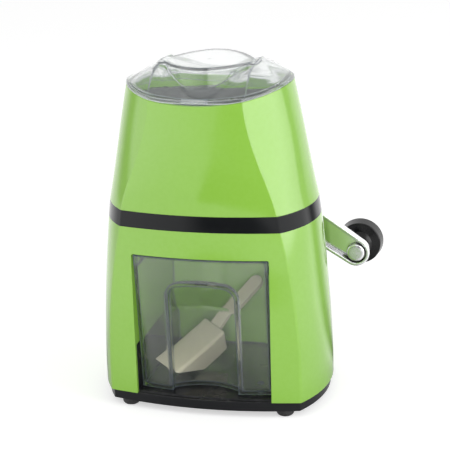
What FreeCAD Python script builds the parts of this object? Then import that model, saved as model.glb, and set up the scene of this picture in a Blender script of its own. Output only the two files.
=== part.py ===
"""Hand cranked ice shaver: a tapered housing in two shells, a crusher between them, a clear lid and a drawer.

Millimetres. X to the right, Y to the back, Z up. The origin is on the table, on the axis of the body.
Every piece is a function that returns one shape, and PIECES at the end names them all.
"""

import FreeCAD, Part
import math
import os
from collections import namedtuple

V = FreeCAD.Vector
X_AXIS, Y_AXIS, Z_AXIS = V(1, 0, 0), V(0, 1, 0), V(0, 0, 1)

# ---------------------------------------------------------------- body shape
# A level is one plan section: half width at the sides, half width of the flat front and back facets,
# depth of the facet's corners from the middle, and how far the facet bulges beyond its corners.
Level = namedtuple("Level", "z side facet corner bulge")

FOOT_HEIGHT = 5.0
SHELL_FOOT_Z = 12.0          # lower edge of the lower shell
SHOULDER_Z = 84.0            # where the lower shell starts to draw in
BAND_LOW_Z = 135.7
BAND_TOP_Z = 147.4
WAIST_Z = 182.0
NECK_Z = 205.0
RIM_Z = 222.0                # rim of the upper shell at the middle of its front
RIM_CURVE = 208.0            # radius of the rim's saddle, seen from the front
CAP_Z = 246.0                # where the walls' taper is carried on to, above the lid

LOWER_LEVELS = [
    Level(SHELL_FOOT_Z, 83.0, 68.7, 46.9, 7.1),
    Level(SHOULDER_Z, 80.2, 65.3, 46.3, 6.8),
    Level(BAND_LOW_Z, 75.7, 56.3, 45.7, 6.4),
]
UPPER_LEVELS = [
    Level(BAND_TOP_Z, 74.1, 54.6, 46.1, 6.9),
    Level(WAIST_Z, 67.4, 42.6, 45.6, 6.0),
    Level(NECK_Z, 63.2, 35.3, 45.0, 5.2),
    Level(RIM_Z, 59.8, 32.4, 44.5, 4.7),
    Level(CAP_Z, 54.6, 31.4, 43.6, 4.0),
]
FACET_EDGE_R = 3.0           # rounding of the facets' upright edges
INNER_EDGE_R = 1.0
SHELL_WALL = 3.0
FIT = 0.4                    # gap between plastic pieces that slide into each other

# ---------------------------------------------------------------- base
BASE_INSET = 2.0             # the base stands in under the lower shell
BASE_FRONT_REACH = 1.5       # extra bulge of the base below the drawer
SKIRT_WALL = 3.0
FLOOR_TOP_Z = 13.0
FLOOR_THICK = 3.5
GUIDE_TOP_Z = 48.0
GUIDE_WALL = 2.5
GUIDE_BACK_Y = 45.0
FOOT_X, FOOT_Y = 56.3, 41.0
FOOT_TOP_R, FOOT_ROUND = 6.3, 2.6
FOOT_STEM_R, FOOT_STEM = 3.0, 3.5
FOOT_PAD_R = 7.5

# ---------------------------------------------------------------- drawer opening and drawer
BAY_HALF = 48.5
BAY_TOP_Z = 116.5
BAY_CORNER_R = 1.5
DRAWER_GAP = 1.2             # at each side of the drawer
DRAWER_LIFT = 0.5            # under the drawer
DRAWER_WALL = 2.2
DRAWER_TOP_GAP = 0.9
DRAWER_BACK_Y = 44.5
DRAWER_BOX_DROP = 8.3        # the side walls end this far below the front's top edge
PANEL_TOP_CORNER_Y, PANEL_TOP_MID_Y = -48.1, -52.2
PANEL_FOOT_CORNER_Y, PANEL_FOOT_MID_Y = -40.3, -45.8
NICHE_HALF = 23.6
NICHE_TOP_Z = 95.8
NICHE_SPRING_Z = 85.8        # where the niche's arch leaves its upright edges
NICHE_CORNER_R = 9.0
NICHE_HAUNCH_ANGLE = 75.0    # where the arch's corner passes into its crown
NICHE_CEILING_Z = 73.5       # foot of the niche's sloped ceiling
NICHE_FOOT_Y, NICHE_CEILING_Y = -32.0, -35.0
NICHE_BOW, NICHE_MOUTH_BOW = 7.5, 0.5  # depth of the niche's curved back, below and at its top
NICHE_MOUTH_Y = -46.5        # how far the sloped ceiling comes forward

# ---------------------------------------------------------------- scoop
SCOOP_WALL = 1.8
SCOOP_LENGTH, SCOOP_RIM = 52.0, 28.0   # of the bowl along its underside and along its rim
SCOOP_WIDTH = 24.0
SCOOP_DEPTH = 17.4
SCOOP_EDGE_R = 2.5
SCOOP_HANDLE_LENGTH = 49.2
SCOOP_HANDLE_WIDTH, SCOOP_HANDLE_THICK = 10.4, 3.6
SCOOP_HANDLE_SINK = 1.0      # of the handle below the bowl's underside
SCOOP_HANDLE_BEND = 14.0     # degrees
# the scoop lies face down: its heel's near corner, and the ways along its bowl and down into it
SCOOP_CORNER = V(6.2, 1.8, 42.2)
SCOOP_ALONG = V(0.569, 0.739, 0.361)
SCOOP_DOWN = V(0.036, 0.415, -0.909)

# ---------------------------------------------------------------- middle chassis
TONGUE_REACH = 6.0           # how far the chassis reaches into each shell
TONGUE_WALL = 2.6
DECK_DROP = 5.7              # top of the deck, below the band... and its thickness
DECK_THICK = 3.0

# ---------------------------------------------------------------- crusher
AXLE_Z = 141.5
CAGE_HALF_X, CAGE_HALF_Y = 31.0, 32.0  # inside
CAGE_WALL = 3.0
CAGE_FOOT_Z, CAGE_TOP_Z = 120.0, 166.0
CAGE_FLANGE, CAGE_FLANGE_THICK = 8.0, 3.0
REAR_BOSS_R = 12.0           # of the chassis's rear bearing, just behind the cage's flange
REAR_BOSS_Y = CAGE_HALF_Y + CAGE_WALL + CAGE_FLANGE + FIT
REAR_BUSH_SINK = 8.2         # of the rear bush below the bezel's face
JOURNAL_R = 4.0
RUNNING_FIT = 0.08
BUSH_R, BUSH_FLANGE_R, BUSH_FLANGE = 6.5, 9.0, 1.0
CAGE_BOSS_R, CAGE_BOSS = 10.0, 4.0
SQUARE = 9.0                 # square middle of the shaft
ROTOR_PITCH = 12.0
ROTOR_COUNT = 5
ROTOR_R, ROTOR_HUB_R, ROTOR_THICK = 24.0, 12.0, 2.5
ROTOR_TEETH = 4
ROTOR_STAGGER = 18.0
SPACER_R = 8.5
COMB_THICK = 2.5
COMB_FINGER = 6.6
COMB_TIP_GAP = 1.5
COMB_RAIL_HEIGHT = 13.0
END_PLAY = 0.2
CIRCLIP_R, CIRCLIP_THICK, CIRCLIP_GROOVE_R = 6.5, 0.8, 3.4
SHAFT_NOSE = 2.0             # shaft beyond its circlip

# ---------------------------------------------------------------- hopper liner
LINER_TOP_Z = 214.5
LINER_FLANGE = 2.5
LINER_WALL = 2.4
LINER_LAND = 5.2             # width of the liner's flange
LEDGE = 3.0                  # ledge in the upper shell that carries the liner
THROAT_CORNER_R = 5.0

# ---------------------------------------------------------------- lid
LID_GAP = 0.3                # between the rim and the lid
LID_WALL = 2.4
LID_LIP = 4.0                # depth of the lip below the rim
LID_LIP_DRAFT = 0.24         # the lip stands in by this share of its depth, so that it lifts past the leaning walls
LID_LIP_WALL = 2.0
LID_LAND = 2.0
LID_CREST_Z = 243.0          # the grip's two tips
LID_CROWN = 1.2              # the grip's middle above its tips
LID_RIDGE_X = 33.5           # the two ridges beside each finger recess
# each ridge on its way from the grip's tip out to the rim: distance from the middle plane and height
LID_RIDGE = [(-1.0, 243.0), (11.0, 242.6), (21.5, 241.6), (27.5, 239.0), (32.0, 236.0), (35.2, 233.5),
             (37.8, 231.0), (40.0, 229.0), (42.8, 227.0), (47.0, 224.5), (60.0, 221.0)]
LID_FLOOR_Z, LID_FLOOR_SLOPE = 225.1, 0.335
GRIP_HALF_X, GRIP_HALF_Y = 34.0, 32.0
GRIP_FLARE = 4.0
# plans of the lid's two side lobes, upwards from just above the rim: height, reach, shoulder's reach and depth
LOBE_LEVELS = [(224.5, 80.0, 72.0, 18.0), (227.0, 73.0, 66.0, 18.0), (229.0, 64.5, 60.0, 17.0),
               (231.0, 57.5, 54.4, 18.5), (233.5, 52.3, 50.0, 20.5), (236.0, 47.6, 45.8, 21.5),
               (239.0, 42.6, 41.2, 20.0), (241.6, 37.6, 36.7, 14.0), (242.6, 35.4, 34.9, 7.0)]

# ---------------------------------------------------------------- crank
BEZEL_R, BEZEL_Y = 19.0, 57.0
HUB_GAP = 0.8
HUB_R = 11.0
ARM_FACE_Y, ARM_THICK = 68.0, 8.0
ARM_LENGTH = 107.7
ARM_DROP = 32.95             # degrees below the horizontal
ARM_WIDTH = 20.7
ARM_ROOT_R = 13.0
ARM_RIM, ARM_POCKET = 2.2, 5.0
PIN_BOSS_R = 6.5
FLAT_HALF = 3.0              # half distance between the flats of the shaft's end
DRIVE_FIT = 0.05
CRANK_SCREW_R, CRANK_SCREW_HEAD_R, CRANK_SCREW_HEAD = 2.5, 7.0, 3.6
CRANK_SCREW_DEPTH = 12.0
CRANK_WASHER_R, CRANK_WASHER = 8.0, 1.2

# ---------------------------------------------------------------- knob
PIN_R = 3.0
PIN_RIVET_R, PIN_RIVET = 4.8, 1.0
PIN_HEAD_R, PIN_HEAD = 6.0, 3.0
KNOB_GAP = 0.8               # between the arm and the knob's neck
KNOB_NECK_R, KNOB_NECK = 8.0, 12.6
KNOB_FACE_R, KNOB_R = 16.0, 17.0
KNOB_BAND = 9.5
KNOB_DOME = 9.5
KNOB_SEAT = 7.5              # thickness of the knob behind its retaining washer
KNOB_WASHER = 1.0
KNOB_CAP_R, KNOB_CAP = 8.0, 2.6
CAP_FIT = 0.1

# ---------------------------------------------------------------- screws
SCREW_R, SCREW_HEAD_R, SCREW_HEAD = 1.6, 3.2, 2.2
PILOT_FIT = 0.05
BASE_SCREW_X, BASE_SCREW_Y = 66.0, 28.0
UPPER_SCREW_X, UPPER_SCREW_Y = 55.6, 24.0
CAGE_SCREW_INSET = 4.0
BOSS_R = 4.6
BOSS_BITE = 14.0             # length of a screw's thread in its boss
RIB = 2.0
COMB_SCREW_Y = 18.0


# ================================================================ helpers
def box(x0, x1, y0, y1, z0, z1):
    """A box between three pairs of limits."""
    return Part.makeBox(x1 - x0, y1 - y0, z1 - z0, V(x0, y0, z0))


def disc(r, centre, length, axis=Z_AXIS):
    """A cylinder that starts at centre and runs length along axis."""
    return Part.makeCylinder(r, length, centre, axis)


def tube(r_out, r_in, centre, length, axis=Z_AXIS):
    """A plain ring."""
    return disc(r_out, centre, length, axis).cut(disc(r_in, centre, length, axis))


def axle(r, y0, y1, x=0.0, z=AXLE_Z):
    """A cylinder along Y between two depths."""
    return disc(r, V(x, y0, z), y1 - y0, Y_AXIS)


def fuse(first, *others):
    """One solid from shapes that touch or overlap."""
    return first.multiFuse(list(others)).removeSplitter()


def four(x, y):
    """The four places (+-x, +-y)."""
    return [(sx * x, sy * y) for sx in (-1, 1) for sy in (-1, 1)]


def closed_wire(points, z=0.0):
    """A closed polygon at one height."""
    corners = [V(x, y, z) for x, y in points]
    return Part.makePolygon(corners + corners[:1])


def arc(a, b, c):
    """The arc from a through b to c, as an edge."""
    return Part.Arc(a, b, c).toShape()


def line(a, b):
    """A straight edge."""
    return Part.LineSegment(a, b).toShape()


def outline(level, inset=0.0):
    """The plan of the body at a level, moved inwards: two facets, two sides and four rounded corners."""
    facet_r = (level.facet ** 2 + level.bulge ** 2) / (2 * level.bulge)
    facet_c = V(0, facet_r - level.corner - level.bulge)
    flank = level.side - level.facet
    side_r = (level.corner ** 2 + flank ** 2) / (2 * flank)
    side_c = V(level.side - side_r, 0)
    corner_r = max(FACET_EDGE_R - inset, INNER_EDGE_R)
    facet_r, side_r = facet_r - inset, side_r - inset
    # the corner's centre lies a corner radius inside both arcs
    reach_a, reach_b = facet_r - corner_r, side_r - corner_r
    gap = side_c.sub(facet_c)
    along = (reach_a ** 2 - reach_b ** 2 + gap.Length ** 2) / (2 * gap.Length)
    across = math.sqrt(reach_a ** 2 - along ** 2)
    unit = V(gap).normalize()
    centre = facet_c.add(unit * along).add(V(-unit.y, unit.x) * across)
    on_facet = centre.add(centre.sub(facet_c).normalize() * corner_r)
    on_side = centre.add(centre.sub(side_c).normalize() * corner_r)
    middle = centre.add(on_facet.sub(centre).add(on_side.sub(centre)).normalize() * corner_r)

    def at(point, sx, sy):
        return V(sx * point.x, sy * point.y, level.z)

    front = facet_c.y - facet_r
    side = side_c.x + side_r
    edges = [
        arc(at(on_facet, -1, 1), V(0, front, level.z), at(on_facet, 1, 1)),
        arc(at(on_facet, 1, 1), at(middle, 1, 1), at(on_side, 1, 1)),
        arc(at(on_side, 1, 1), V(side, 0, level.z), at(on_side, 1, -1)),
        arc(at(on_side, 1, -1), at(middle, 1, -1), at(on_facet, 1, -1)),
        arc(at(on_facet, 1, -1), V(0, -front, level.z), at(on_facet, -1, -1)),
        arc(at(on_facet, -1, -1), at(middle, -1, -1), at(on_side, -1, -1)),
        arc(at(on_side, -1, -1), V(-side, 0, level.z), at(on_side, -1, 1)),
        arc(at(on_side, -1, 1), at(middle, -1, 1), at(on_facet, -1, 1)),
    ]
    return Part.Wire(edges)


def body_form(levels, inset=0.0):
    """The solid through a run of levels, moved inwards."""
    return Part.makeLoft([outline(level, inset) for level in levels], True, len(levels) == 2)


def slab(z0, z1, reach=200.0):
    """Everything between two heights."""
    return box(-reach, reach, -reach, reach, z0, z1)


def level_at(levels, z):
    """A level between two of the named ones, in proportion."""
    for low, high in zip(levels, levels[1:]):
        if z <= high.z or high is levels[-1]:
            t = (z - low.z) / (high.z - low.z)
            return Level(z, *(a + (b - a) * t for a, b in zip(low[1:], high[1:])))


def band_level(z):
    """The plan of the band, carried on above and below it."""
    return level_at([LOWER_LEVELS[-1], UPPER_LEVELS[0]], z)


def above_saddle(rise=0.0):
    """The space above the rim's saddle curve, raised a little."""
    return Part.makeCylinder(RIM_CURVE - rise, 300, V(0, -150, RIM_Z + RIM_CURVE), Y_AXIS)


def screw(head_at, direction, length):
    """A pan head screw: the head stands on head_at, the thread runs along direction."""
    back = direction * -SCREW_HEAD
    head = disc(SCREW_HEAD_R, head_at.add(back), SCREW_HEAD, direction)
    slot = disc(SCREW_R * 0.7, head_at.add(back), SCREW_HEAD / 2, direction)
    return head.cut(slot).fuse(disc(SCREW_R, head_at, length, direction)).removeSplitter()


def pilot(start, direction, length):
    """The hole that a screw cuts its thread in."""
    return disc(SCREW_R + PILOT_FIT, start, length, direction)


# ================================================================ base
def base_levels():
    """The base's plan, from its lower edge to the lower shell."""
    shell = LOWER_LEVELS[0]
    foot = Level(FOOT_HEIGHT, shell.side, shell.facet, shell.corner, shell.bulge + BASE_FRONT_REACH)
    return [foot, foot._replace(z=SHELL_FOOT_Z)]


def base_tray():
    """Skirt, floor, drawer guides, foot pads and screw holes."""
    levels = base_levels()
    outer = body_form(levels, BASE_INSET)
    hollow = body_form(levels, BASE_INSET + SKIRT_WALL).common(slab(0, FLOOR_TOP_Z - FLOOR_THICK))
    inside = body_form(LOWER_LEVELS, SHELL_WALL + FIT)
    floor = inside.common(slab(SHELL_FOOT_Z, FLOOR_TOP_Z))
    parts = [floor]
    for side in (-1, 1):
        x0, x1 = sorted((side * BAY_HALF, side * (BAY_HALF + GUIDE_WALL)))
        guide = box(x0, x1, -80, GUIDE_BACK_Y, SHELL_FOOT_Z, GUIDE_TOP_Z).common(inside)
        parts.append(guide)
    for x, y in four(FOOT_X, FOOT_Y):
        parts.append(disc(FOOT_PAD_R, V(x, y, FOOT_HEIGHT), FLOOR_TOP_Z - FOOT_HEIGHT - 1))
    tray = fuse(outer.cut(hollow), *parts)
    tray = tray.common(body_form([levels[0], levels[1]._replace(z=GUIDE_TOP_Z + 1)], BASE_INSET))
    for x, y in four(FOOT_X, FOOT_Y):
        tray = tray.cut(disc(FOOT_STEM_R, V(x, y, FOOT_HEIGHT), FOOT_STEM))
    for x, y in four(BASE_SCREW_X, BASE_SCREW_Y):
        tray = tray.cut(disc(SCREW_R + FIT, V(x, y, 0), 30))
    return tray


def rubber_feet():
    """Four feet with rounded soles and a stem that plugs into the base."""
    feet = []
    for x, y in four(FOOT_X, FOOT_Y):
        sole = disc(FOOT_TOP_R, V(x, y, 0), FOOT_HEIGHT)
        low = [e for e in sole.Edges if e.BoundBox.ZMax < FOOT_HEIGHT / 2 and len(e.Vertexes) == 1]
        sole = sole.makeFillet(FOOT_ROUND, low)
        feet.append(sole.fuse(disc(FOOT_STEM_R, V(x, y, FOOT_HEIGHT), FOOT_STEM)).removeSplitter())
    return Part.makeCompound(feet)


def base_screws():
    """Four screws, up through the floor of the base into the lower shell."""
    head_z = FLOOR_TOP_Z - FLOOR_THICK
    return Part.makeCompound([
        screw(V(x, y, head_z), Z_AXIS, FLOOR_THICK + BOSS_BITE) for x, y in four(BASE_SCREW_X, BASE_SCREW_Y)
    ])


# ================================================================ lower shell
def bay():
    """The opening for the drawer, cut through the front of the lower shell."""
    cutter = box(-BAY_HALF, BAY_HALF, -90, 0, -10, BAY_TOP_Z)
    top = [e for e in cutter.Edges
           if abs(e.BoundBox.ZMin - BAY_TOP_Z) < 0.01 and e.BoundBox.YLength > 1]
    return cutter.makeFillet(BAY_CORNER_R, top)


def boss(x, y, z0, z1, levels):
    """A screw boss tied to the nearest side wall by a rib."""
    toward = math.copysign(1, x)
    x0, x1 = sorted((x, x + toward * 40))
    column = disc(BOSS_R, V(x, y, z0), z1 - z0)
    rib = box(x0, x1, y - RIB / 2, y + RIB / 2, z0, z1)
    return column.fuse(rib).common(body_form(levels, SHELL_WALL / 2))


def lower_shell():
    """The green lower housing: outer wall, jambs beside the drawer and screw bosses."""
    outer = body_form(LOWER_LEVELS)
    inner = body_form(LOWER_LEVELS, SHELL_WALL)
    shell = outer.cut(inner).cut(bay())
    room = body_form(LOWER_LEVELS, SHELL_WALL / 2)
    parts = []
    jamb_top = deck_top_z() - DECK_THICK - FIT
    for side in (-1, 1):
        x0, x1 = sorted((side * BAY_HALF, side * (BAY_HALF + GUIDE_WALL)))
        parts.append(box(x0, x1, -80, 80, GUIDE_TOP_Z, jamb_top).common(room))
    for x, y in four(BASE_SCREW_X, BASE_SCREW_Y):
        parts.append(boss(x, y, FLOOR_TOP_Z, FLOOR_TOP_Z + BOSS_BITE + 4, LOWER_LEVELS))
    shell = fuse(shell, *parts)
    for x, y in four(BASE_SCREW_X, BASE_SCREW_Y):
        shell = shell.cut(pilot(V(x, y, FLOOR_TOP_Z - 1), Z_AXIS, BOSS_BITE + 1.5))
    return shell


# ================================================================ middle chassis
def deck_top_z():
    """Top of the deck that carries the crusher."""
    return BAND_LOW_Z - DECK_DROP + DECK_THICK


def chassis_band():
    """The black band with a tongue into each shell, a deck for the crusher and the rear bearing boss."""
    low, top = LOWER_LEVELS[-1], UPPER_LEVELS[0]
    band = body_form([low, top]).cut(body_form([low, top], SHELL_WALL + TONGUE_WALL + FIT))
    z0, z1 = BAND_LOW_Z - TONGUE_REACH, BAND_TOP_Z + TONGUE_REACH
    reach = SHELL_WALL + FIT
    tongue_low = Part.makeLoft([outline(level_at(LOWER_LEVELS, z0), reach), outline(low, reach)], True, True)
    upper_end = level_at(UPPER_LEVELS, z1)
    tongue_top = Part.makeLoft([outline(top, reach), outline(upper_end, reach + FIT)], True, True)
    core = body_form([low, top], reach)
    tongue = fuse(tongue_low, core, tongue_top)
    hollow_low = Part.makeLoft(
        [outline(level_at(LOWER_LEVELS, z0), reach + TONGUE_WALL), outline(low, reach + TONGUE_WALL)], True, True)
    hollow_top = Part.makeLoft(
        [outline(top, reach + TONGUE_WALL), outline(upper_end, reach + FIT + TONGUE_WALL)], True, True)
    hollow = fuse(hollow_low, body_form([low, top], reach + TONGUE_WALL), hollow_top)
    deck = tongue.common(slab(deck_top_z() - DECK_THICK, deck_top_z()))
    window_x = CAGE_HALF_X + CAGE_WALL + FIT
    window_y = CAGE_HALF_Y + CAGE_WALL + FIT
    deck = deck.cut(box(-window_x, window_x, -window_y, window_y, 0, 200))
    notch_y = CAGE_HALF_Y + CAGE_WALL + CAGE_BOSS + FIT
    deck = deck.cut(axle(CAGE_BOSS_R + FIT, -notch_y, notch_y))
    rear_boss = axle(REAR_BOSS_R, REAR_BOSS_Y, 60).common(tongue)
    parts = [tongue.cut(hollow), deck, rear_boss]
    for x, y in cage_screw_places():
        parts.append(disc(BOSS_R, V(x, y, deck_top_z() - DECK_THICK - 4), 5))
    chassis = fuse(band, *parts)
    chassis = chassis.cut(cage_flange(FIT / 2, deck_top_z(), BAND_TOP_Z + TONGUE_REACH + 1))
    chassis = chassis.cut(axle(BUSH_R, REAR_BOSS_Y - 1, rear_bush_end_y()))
    chassis = chassis.cut(axle(JOURNAL_R + FIT * 2, REAR_BOSS_Y, 70))
    for x, y in cage_screw_places():
        chassis = chassis.cut(pilot(V(x, y, deck_top_z() + 1), Z_AXIS * -1, 7.5))
    for x, y in four(UPPER_SCREW_X, UPPER_SCREW_Y):
        chassis = chassis.cut(disc(SCREW_R + FIT, V(x, y, deck_top_z() + 1), 10, Z_AXIS * -1))
    return chassis


def upper_screws():
    """Four screws, up through the deck into the upper shell."""
    head_z = deck_top_z() - DECK_THICK
    return Part.makeCompound([
        screw(V(x, y, head_z), Z_AXIS, DECK_THICK + BOSS_BITE) for x, y in four(UPPER_SCREW_X, UPPER_SCREW_Y)
    ])


# ================================================================ upper shell and hopper
def upper_shell():
    """The green upper housing with its saddle rim, the liner's ledge and screw bosses."""
    inner = body_form(UPPER_LEVELS, SHELL_WALL)
    shell = body_form(UPPER_LEVELS).cut(inner)
    ledge_top = LINER_TOP_Z - LINER_FLANGE
    ledge = body_form(UPPER_LEVELS, SHELL_WALL / 2).cut(body_form(UPPER_LEVELS, SHELL_WALL + LEDGE))
    ledge = ledge.common(slab(ledge_top - LEDGE, ledge_top))
    parts = [ledge]
    low_z = deck_top_z()
    for x, y in four(UPPER_SCREW_X, UPPER_SCREW_Y):
        wall = body_form(UPPER_LEVELS, SHELL_WALL / 2)
        toward = math.copysign(1, x)
        x0, x1 = sorted((x, x + toward * 40))
        z1 = BAND_TOP_Z + TONGUE_REACH + BOSS_BITE
        rib = box(x0, x1, y - RIB / 2, y + RIB / 2, BAND_TOP_Z + TONGUE_REACH + 1, z1).common(wall)
        parts.append(disc(BOSS_R, V(x, y, low_z), z1 - low_z).fuse(rib))
    shell = fuse(shell, *parts).cut(above_saddle())
    for x, y in four(UPPER_SCREW_X, UPPER_SCREW_Y):
        shell = shell.cut(pilot(V(x, y, low_z - 1), Z_AXIS, BOSS_BITE + 1.5))
    return shell


def throat(z, inset):
    """The liner's throat above the crusher: a rectangle of eight edges with rounded corners."""
    half_x = CAGE_HALF_X + LINER_WALL - 0.5 - inset
    half_y = CAGE_HALF_Y + LINER_WALL - 0.5 - inset
    r = THROAT_CORNER_R - inset
    s = r * (1 - math.sqrt(0.5))
    edges = []
    for sx, sy in ((1, -1), (1, 1), (-1, 1), (-1, -1)):
        on_y, on_x = V(sx * (half_x - r), sy * half_y, z), V(sx * half_x, sy * (half_y - r), z)
        middle = V(sx * (half_x - s), sy * (half_y - s), z)
        ends = (on_y, on_x) if sx * sy < 0 else (on_x, on_y)
        edges.append((ends[0], middle, ends[1]))
    wire = [line(edges[3][2], edges[0][0])]
    for i, (a, b, c) in enumerate(edges):
        wire.append(arc(a, b, c))
        if i < 3:
            wire.append(line(c, edges[i + 1][0]))
    return Part.Wire(wire)


def hopper_liner():
    """The dark funnel that leads the ice to the blades, hung by its flange in the upper shell."""
    flange_low = LINER_TOP_Z - LINER_FLANGE
    outer_top = SHELL_WALL + LEDGE + FIT
    seat = body_form(UPPER_LEVELS, SHELL_WALL + FIT).common(slab(flange_low, LINER_TOP_Z))
    top_level = level_at(UPPER_LEVELS, LINER_TOP_Z)
    foot_z = CAGE_TOP_Z
    outer = Part.makeLoft([throat(foot_z, 0), outline(top_level, outer_top)], True, True)
    inner = Part.makeLoft([throat(foot_z, LINER_WALL), outline(top_level, outer_top + LINER_WALL)], True, True)
    return fuse(seat, outer).cut(inner)


# ================================================================ crusher
def bearing_y(side):
    """Where the shaft's shoulder meets the cage's bush, in front (-1) or behind (+1)."""
    return side * (CAGE_HALF_Y - BUSH_FLANGE)


def rear_bush_end_y():
    """Inner end of the clearance hole in the chassis."""
    return BEZEL_Y - REAR_BUSH_SINK


def cage_screw_places():
    """The screws at the corners of the cage's flange."""
    reach = CAGE_WALL + CAGE_SCREW_INSET
    return four(CAGE_HALF_X + reach, CAGE_HALF_Y + reach)


def cage_flange(grow, z0, z1):
    """The cage's flange, or with a clearance the space that it is lowered through."""
    reach = CAGE_WALL + CAGE_FLANGE + grow
    flange = box(-CAGE_HALF_X - reach, CAGE_HALF_X + reach, -CAGE_HALF_Y - reach, CAGE_HALF_Y + reach, z0, z1)
    corners = [e for e in flange.Edges if e.BoundBox.ZLength > (z1 - z0) / 2]
    return flange.makeFillet(CAGE_FLANGE / 2 + grow, corners)


def crusher_cage():
    """The black box around the blades, open above and below, with a bearing boss at each end."""
    wx, wy = CAGE_HALF_X + CAGE_WALL, CAGE_HALF_Y + CAGE_WALL
    walls = box(-wx, wx, -wy, wy, CAGE_FOOT_Z, CAGE_TOP_Z)
    flange = cage_flange(0, deck_top_z(), deck_top_z() + CAGE_FLANGE_THICK)
    bosses = axle(CAGE_BOSS_R, -wy - CAGE_BOSS, wy + CAGE_BOSS)
    cage = fuse(walls, flange, bosses)
    cage = cage.cut(box(-CAGE_HALF_X, CAGE_HALF_X, -CAGE_HALF_Y, CAGE_HALF_Y, 0, 300))
    cage = cage.cut(axle(BUSH_R, -80, 80))
    for x, y in cage_screw_places():
        cage = cage.cut(disc(SCREW_R + FIT, V(x, y, deck_top_z() - 1), 10))
    for side in (-1, 1):
        for y in (-COMB_SCREW_Y, COMB_SCREW_Y):
            cage = cage.cut(disc(SCREW_R + FIT, V(side * 20, y, AXLE_Z), 40, X_AXIS * side))
    return cage


def cage_screws():
    """Four screws that hold the cage's flange to the deck."""
    z = deck_top_z() + CAGE_FLANGE_THICK
    return Part.makeCompound([
        screw(V(x, y, z), Z_AXIS * -1, CAGE_FLANGE_THICK + 6) for x, y in cage_screw_places()
    ])


def finger_places():
    """Depths of the fixed fingers, one between each pair of rotor blades."""
    first = -(ROTOR_COUNT - 1) / 2 * ROTOR_PITCH + ROTOR_PITCH / 2
    return [first + i * ROTOR_PITCH for i in range(ROTOR_COUNT - 1)]


def comb(side):
    """A fixed steel comb on one wall of the cage, its fingers between the rotor's blades."""
    x_wall, x_rail = CAGE_HALF_X, CAGE_HALF_X - COMB_THICK
    x_tip = SPACER_R + COMB_TIP_GAP
    half_y = CAGE_HALF_Y - 2
    rail = box(x_rail, x_wall, -half_y, half_y, AXLE_Z - COMB_RAIL_HEIGHT / 2, AXLE_Z + COMB_RAIL_HEIGHT / 2)
    z0, z1 = AXLE_Z - COMB_THICK / 2, AXLE_Z + COMB_THICK / 2
    fingers = []
    for y in finger_places():
        half = COMB_FINGER / 2
        blank = closed_wire([(x_rail + 0.5, y - half), (x_rail + 0.5, y + half), (x_tip + 2, y + half),
                             (x_tip, y + half - 2), (x_tip, y - half + 2), (x_tip + 2, y - half)], z0)
        fingers.append(Part.Face(blank).extrude(V(0, 0, z1 - z0)))
    piece = fuse(rail, *fingers)
    for y in (-COMB_SCREW_Y, COMB_SCREW_Y):
        piece = piece.cut(pilot(V(x_rail - 1, y, AXLE_Z), X_AXIS, COMB_THICK + 2))
    return piece if side > 0 else piece.mirror(V(0, 0, 0), X_AXIS)


def comb_screws():
    """Two screws for each comb, through the cage's walls."""
    x = CAGE_HALF_X + CAGE_WALL
    return Part.makeCompound([
        screw(V(side * x, y, AXLE_Z), X_AXIS * -side, CAGE_WALL + COMB_THICK)
        for side in (-1, 1) for y in (-COMB_SCREW_Y, COMB_SCREW_Y)
    ])


def cage_bush(side):
    """A flanged bush in the cage, the flange on the inside."""
    inner_y = bearing_y(side)
    outer_y = side * (CAGE_HALF_Y + CAGE_WALL + CAGE_BOSS)
    wall_y = side * CAGE_HALF_Y
    flange = axle(BUSH_FLANGE_R, *sorted((inner_y, wall_y)))
    sleeve = axle(BUSH_R, *sorted((wall_y, outer_y)))
    return fuse(flange, sleeve).cut(axle(JOURNAL_R + RUNNING_FIT, -90, 90))


def rear_bush():
    """The bush in the chassis's rear boss."""
    return axle(BUSH_R, REAR_BOSS_Y, rear_bush_end_y()).cut(axle(JOURNAL_R + RUNNING_FIT, 0, 90))


def rotor_places():
    """Depths of the rotor's blades."""
    first = -(ROTOR_COUNT - 1) / 2 * ROTOR_PITCH
    return [first + i * ROTOR_PITCH for i in range(ROTOR_COUNT)]


def square_bar(half, y0, y1):
    """A square bar along the shaft's axis."""
    return box(-half, half, y0, y1, AXLE_Z - half, AXLE_Z + half)


def rotor_blade(index):
    """A stamped steel star with hooked teeth, square in the middle to be driven by the shaft."""
    y = rotor_places()[index] - ROTOR_THICK / 2
    points = []
    step = 360.0 / ROTOR_TEETH
    for k in range(ROTOR_TEETH):
        start = k * step + index * ROTOR_STAGGER
        for angle, r in ((0, ROTOR_HUB_R), (12, ROTOR_R), (22, ROTOR_R), (30, (ROTOR_R + ROTOR_HUB_R) / 2),
                         (46, ROTOR_HUB_R), (68, ROTOR_HUB_R)):
            a = math.radians(start + angle)
            points.append(V(r * math.cos(a), y, AXLE_Z + r * math.sin(a)))
    blade = Part.Face(Part.makePolygon(points + points[:1])).extrude(V(0, ROTOR_THICK, 0))
    return blade.cut(square_bar(SQUARE / 2 + DRIVE_FIT, -90, 90))


def shoulder_y():
    """Half the length of the shaft's square middle."""
    return CAGE_HALF_Y - BUSH_FLANGE - END_PLAY


def rotor_spacers():
    """The sleeves that keep the blades apart."""
    places = rotor_places()
    bore = SQUARE / 2 * math.sqrt(2) + 2 * DRIVE_FIT
    edges = [-shoulder_y()]
    for y in places:
        edges += [y - ROTOR_THICK / 2, y + ROTOR_THICK / 2]
    edges.append(shoulder_y())
    rings = []
    for y0, y1 in zip(edges[::2], edges[1::2]):
        rings.append(axle(SPACER_R, y0, y1).cut(axle(bore, y0, y1)))
    return Part.makeCompound(rings)


def circlip_y():
    """Rear face of the circlip in front of the front bush."""
    return -(CAGE_HALF_Y + CAGE_WALL + CAGE_BOSS) - END_PLAY


def shaft_end_y():
    """End of the shaft's flats inside the crank's hub."""
    return ARM_FACE_Y + ARM_THICK - 1.0


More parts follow.
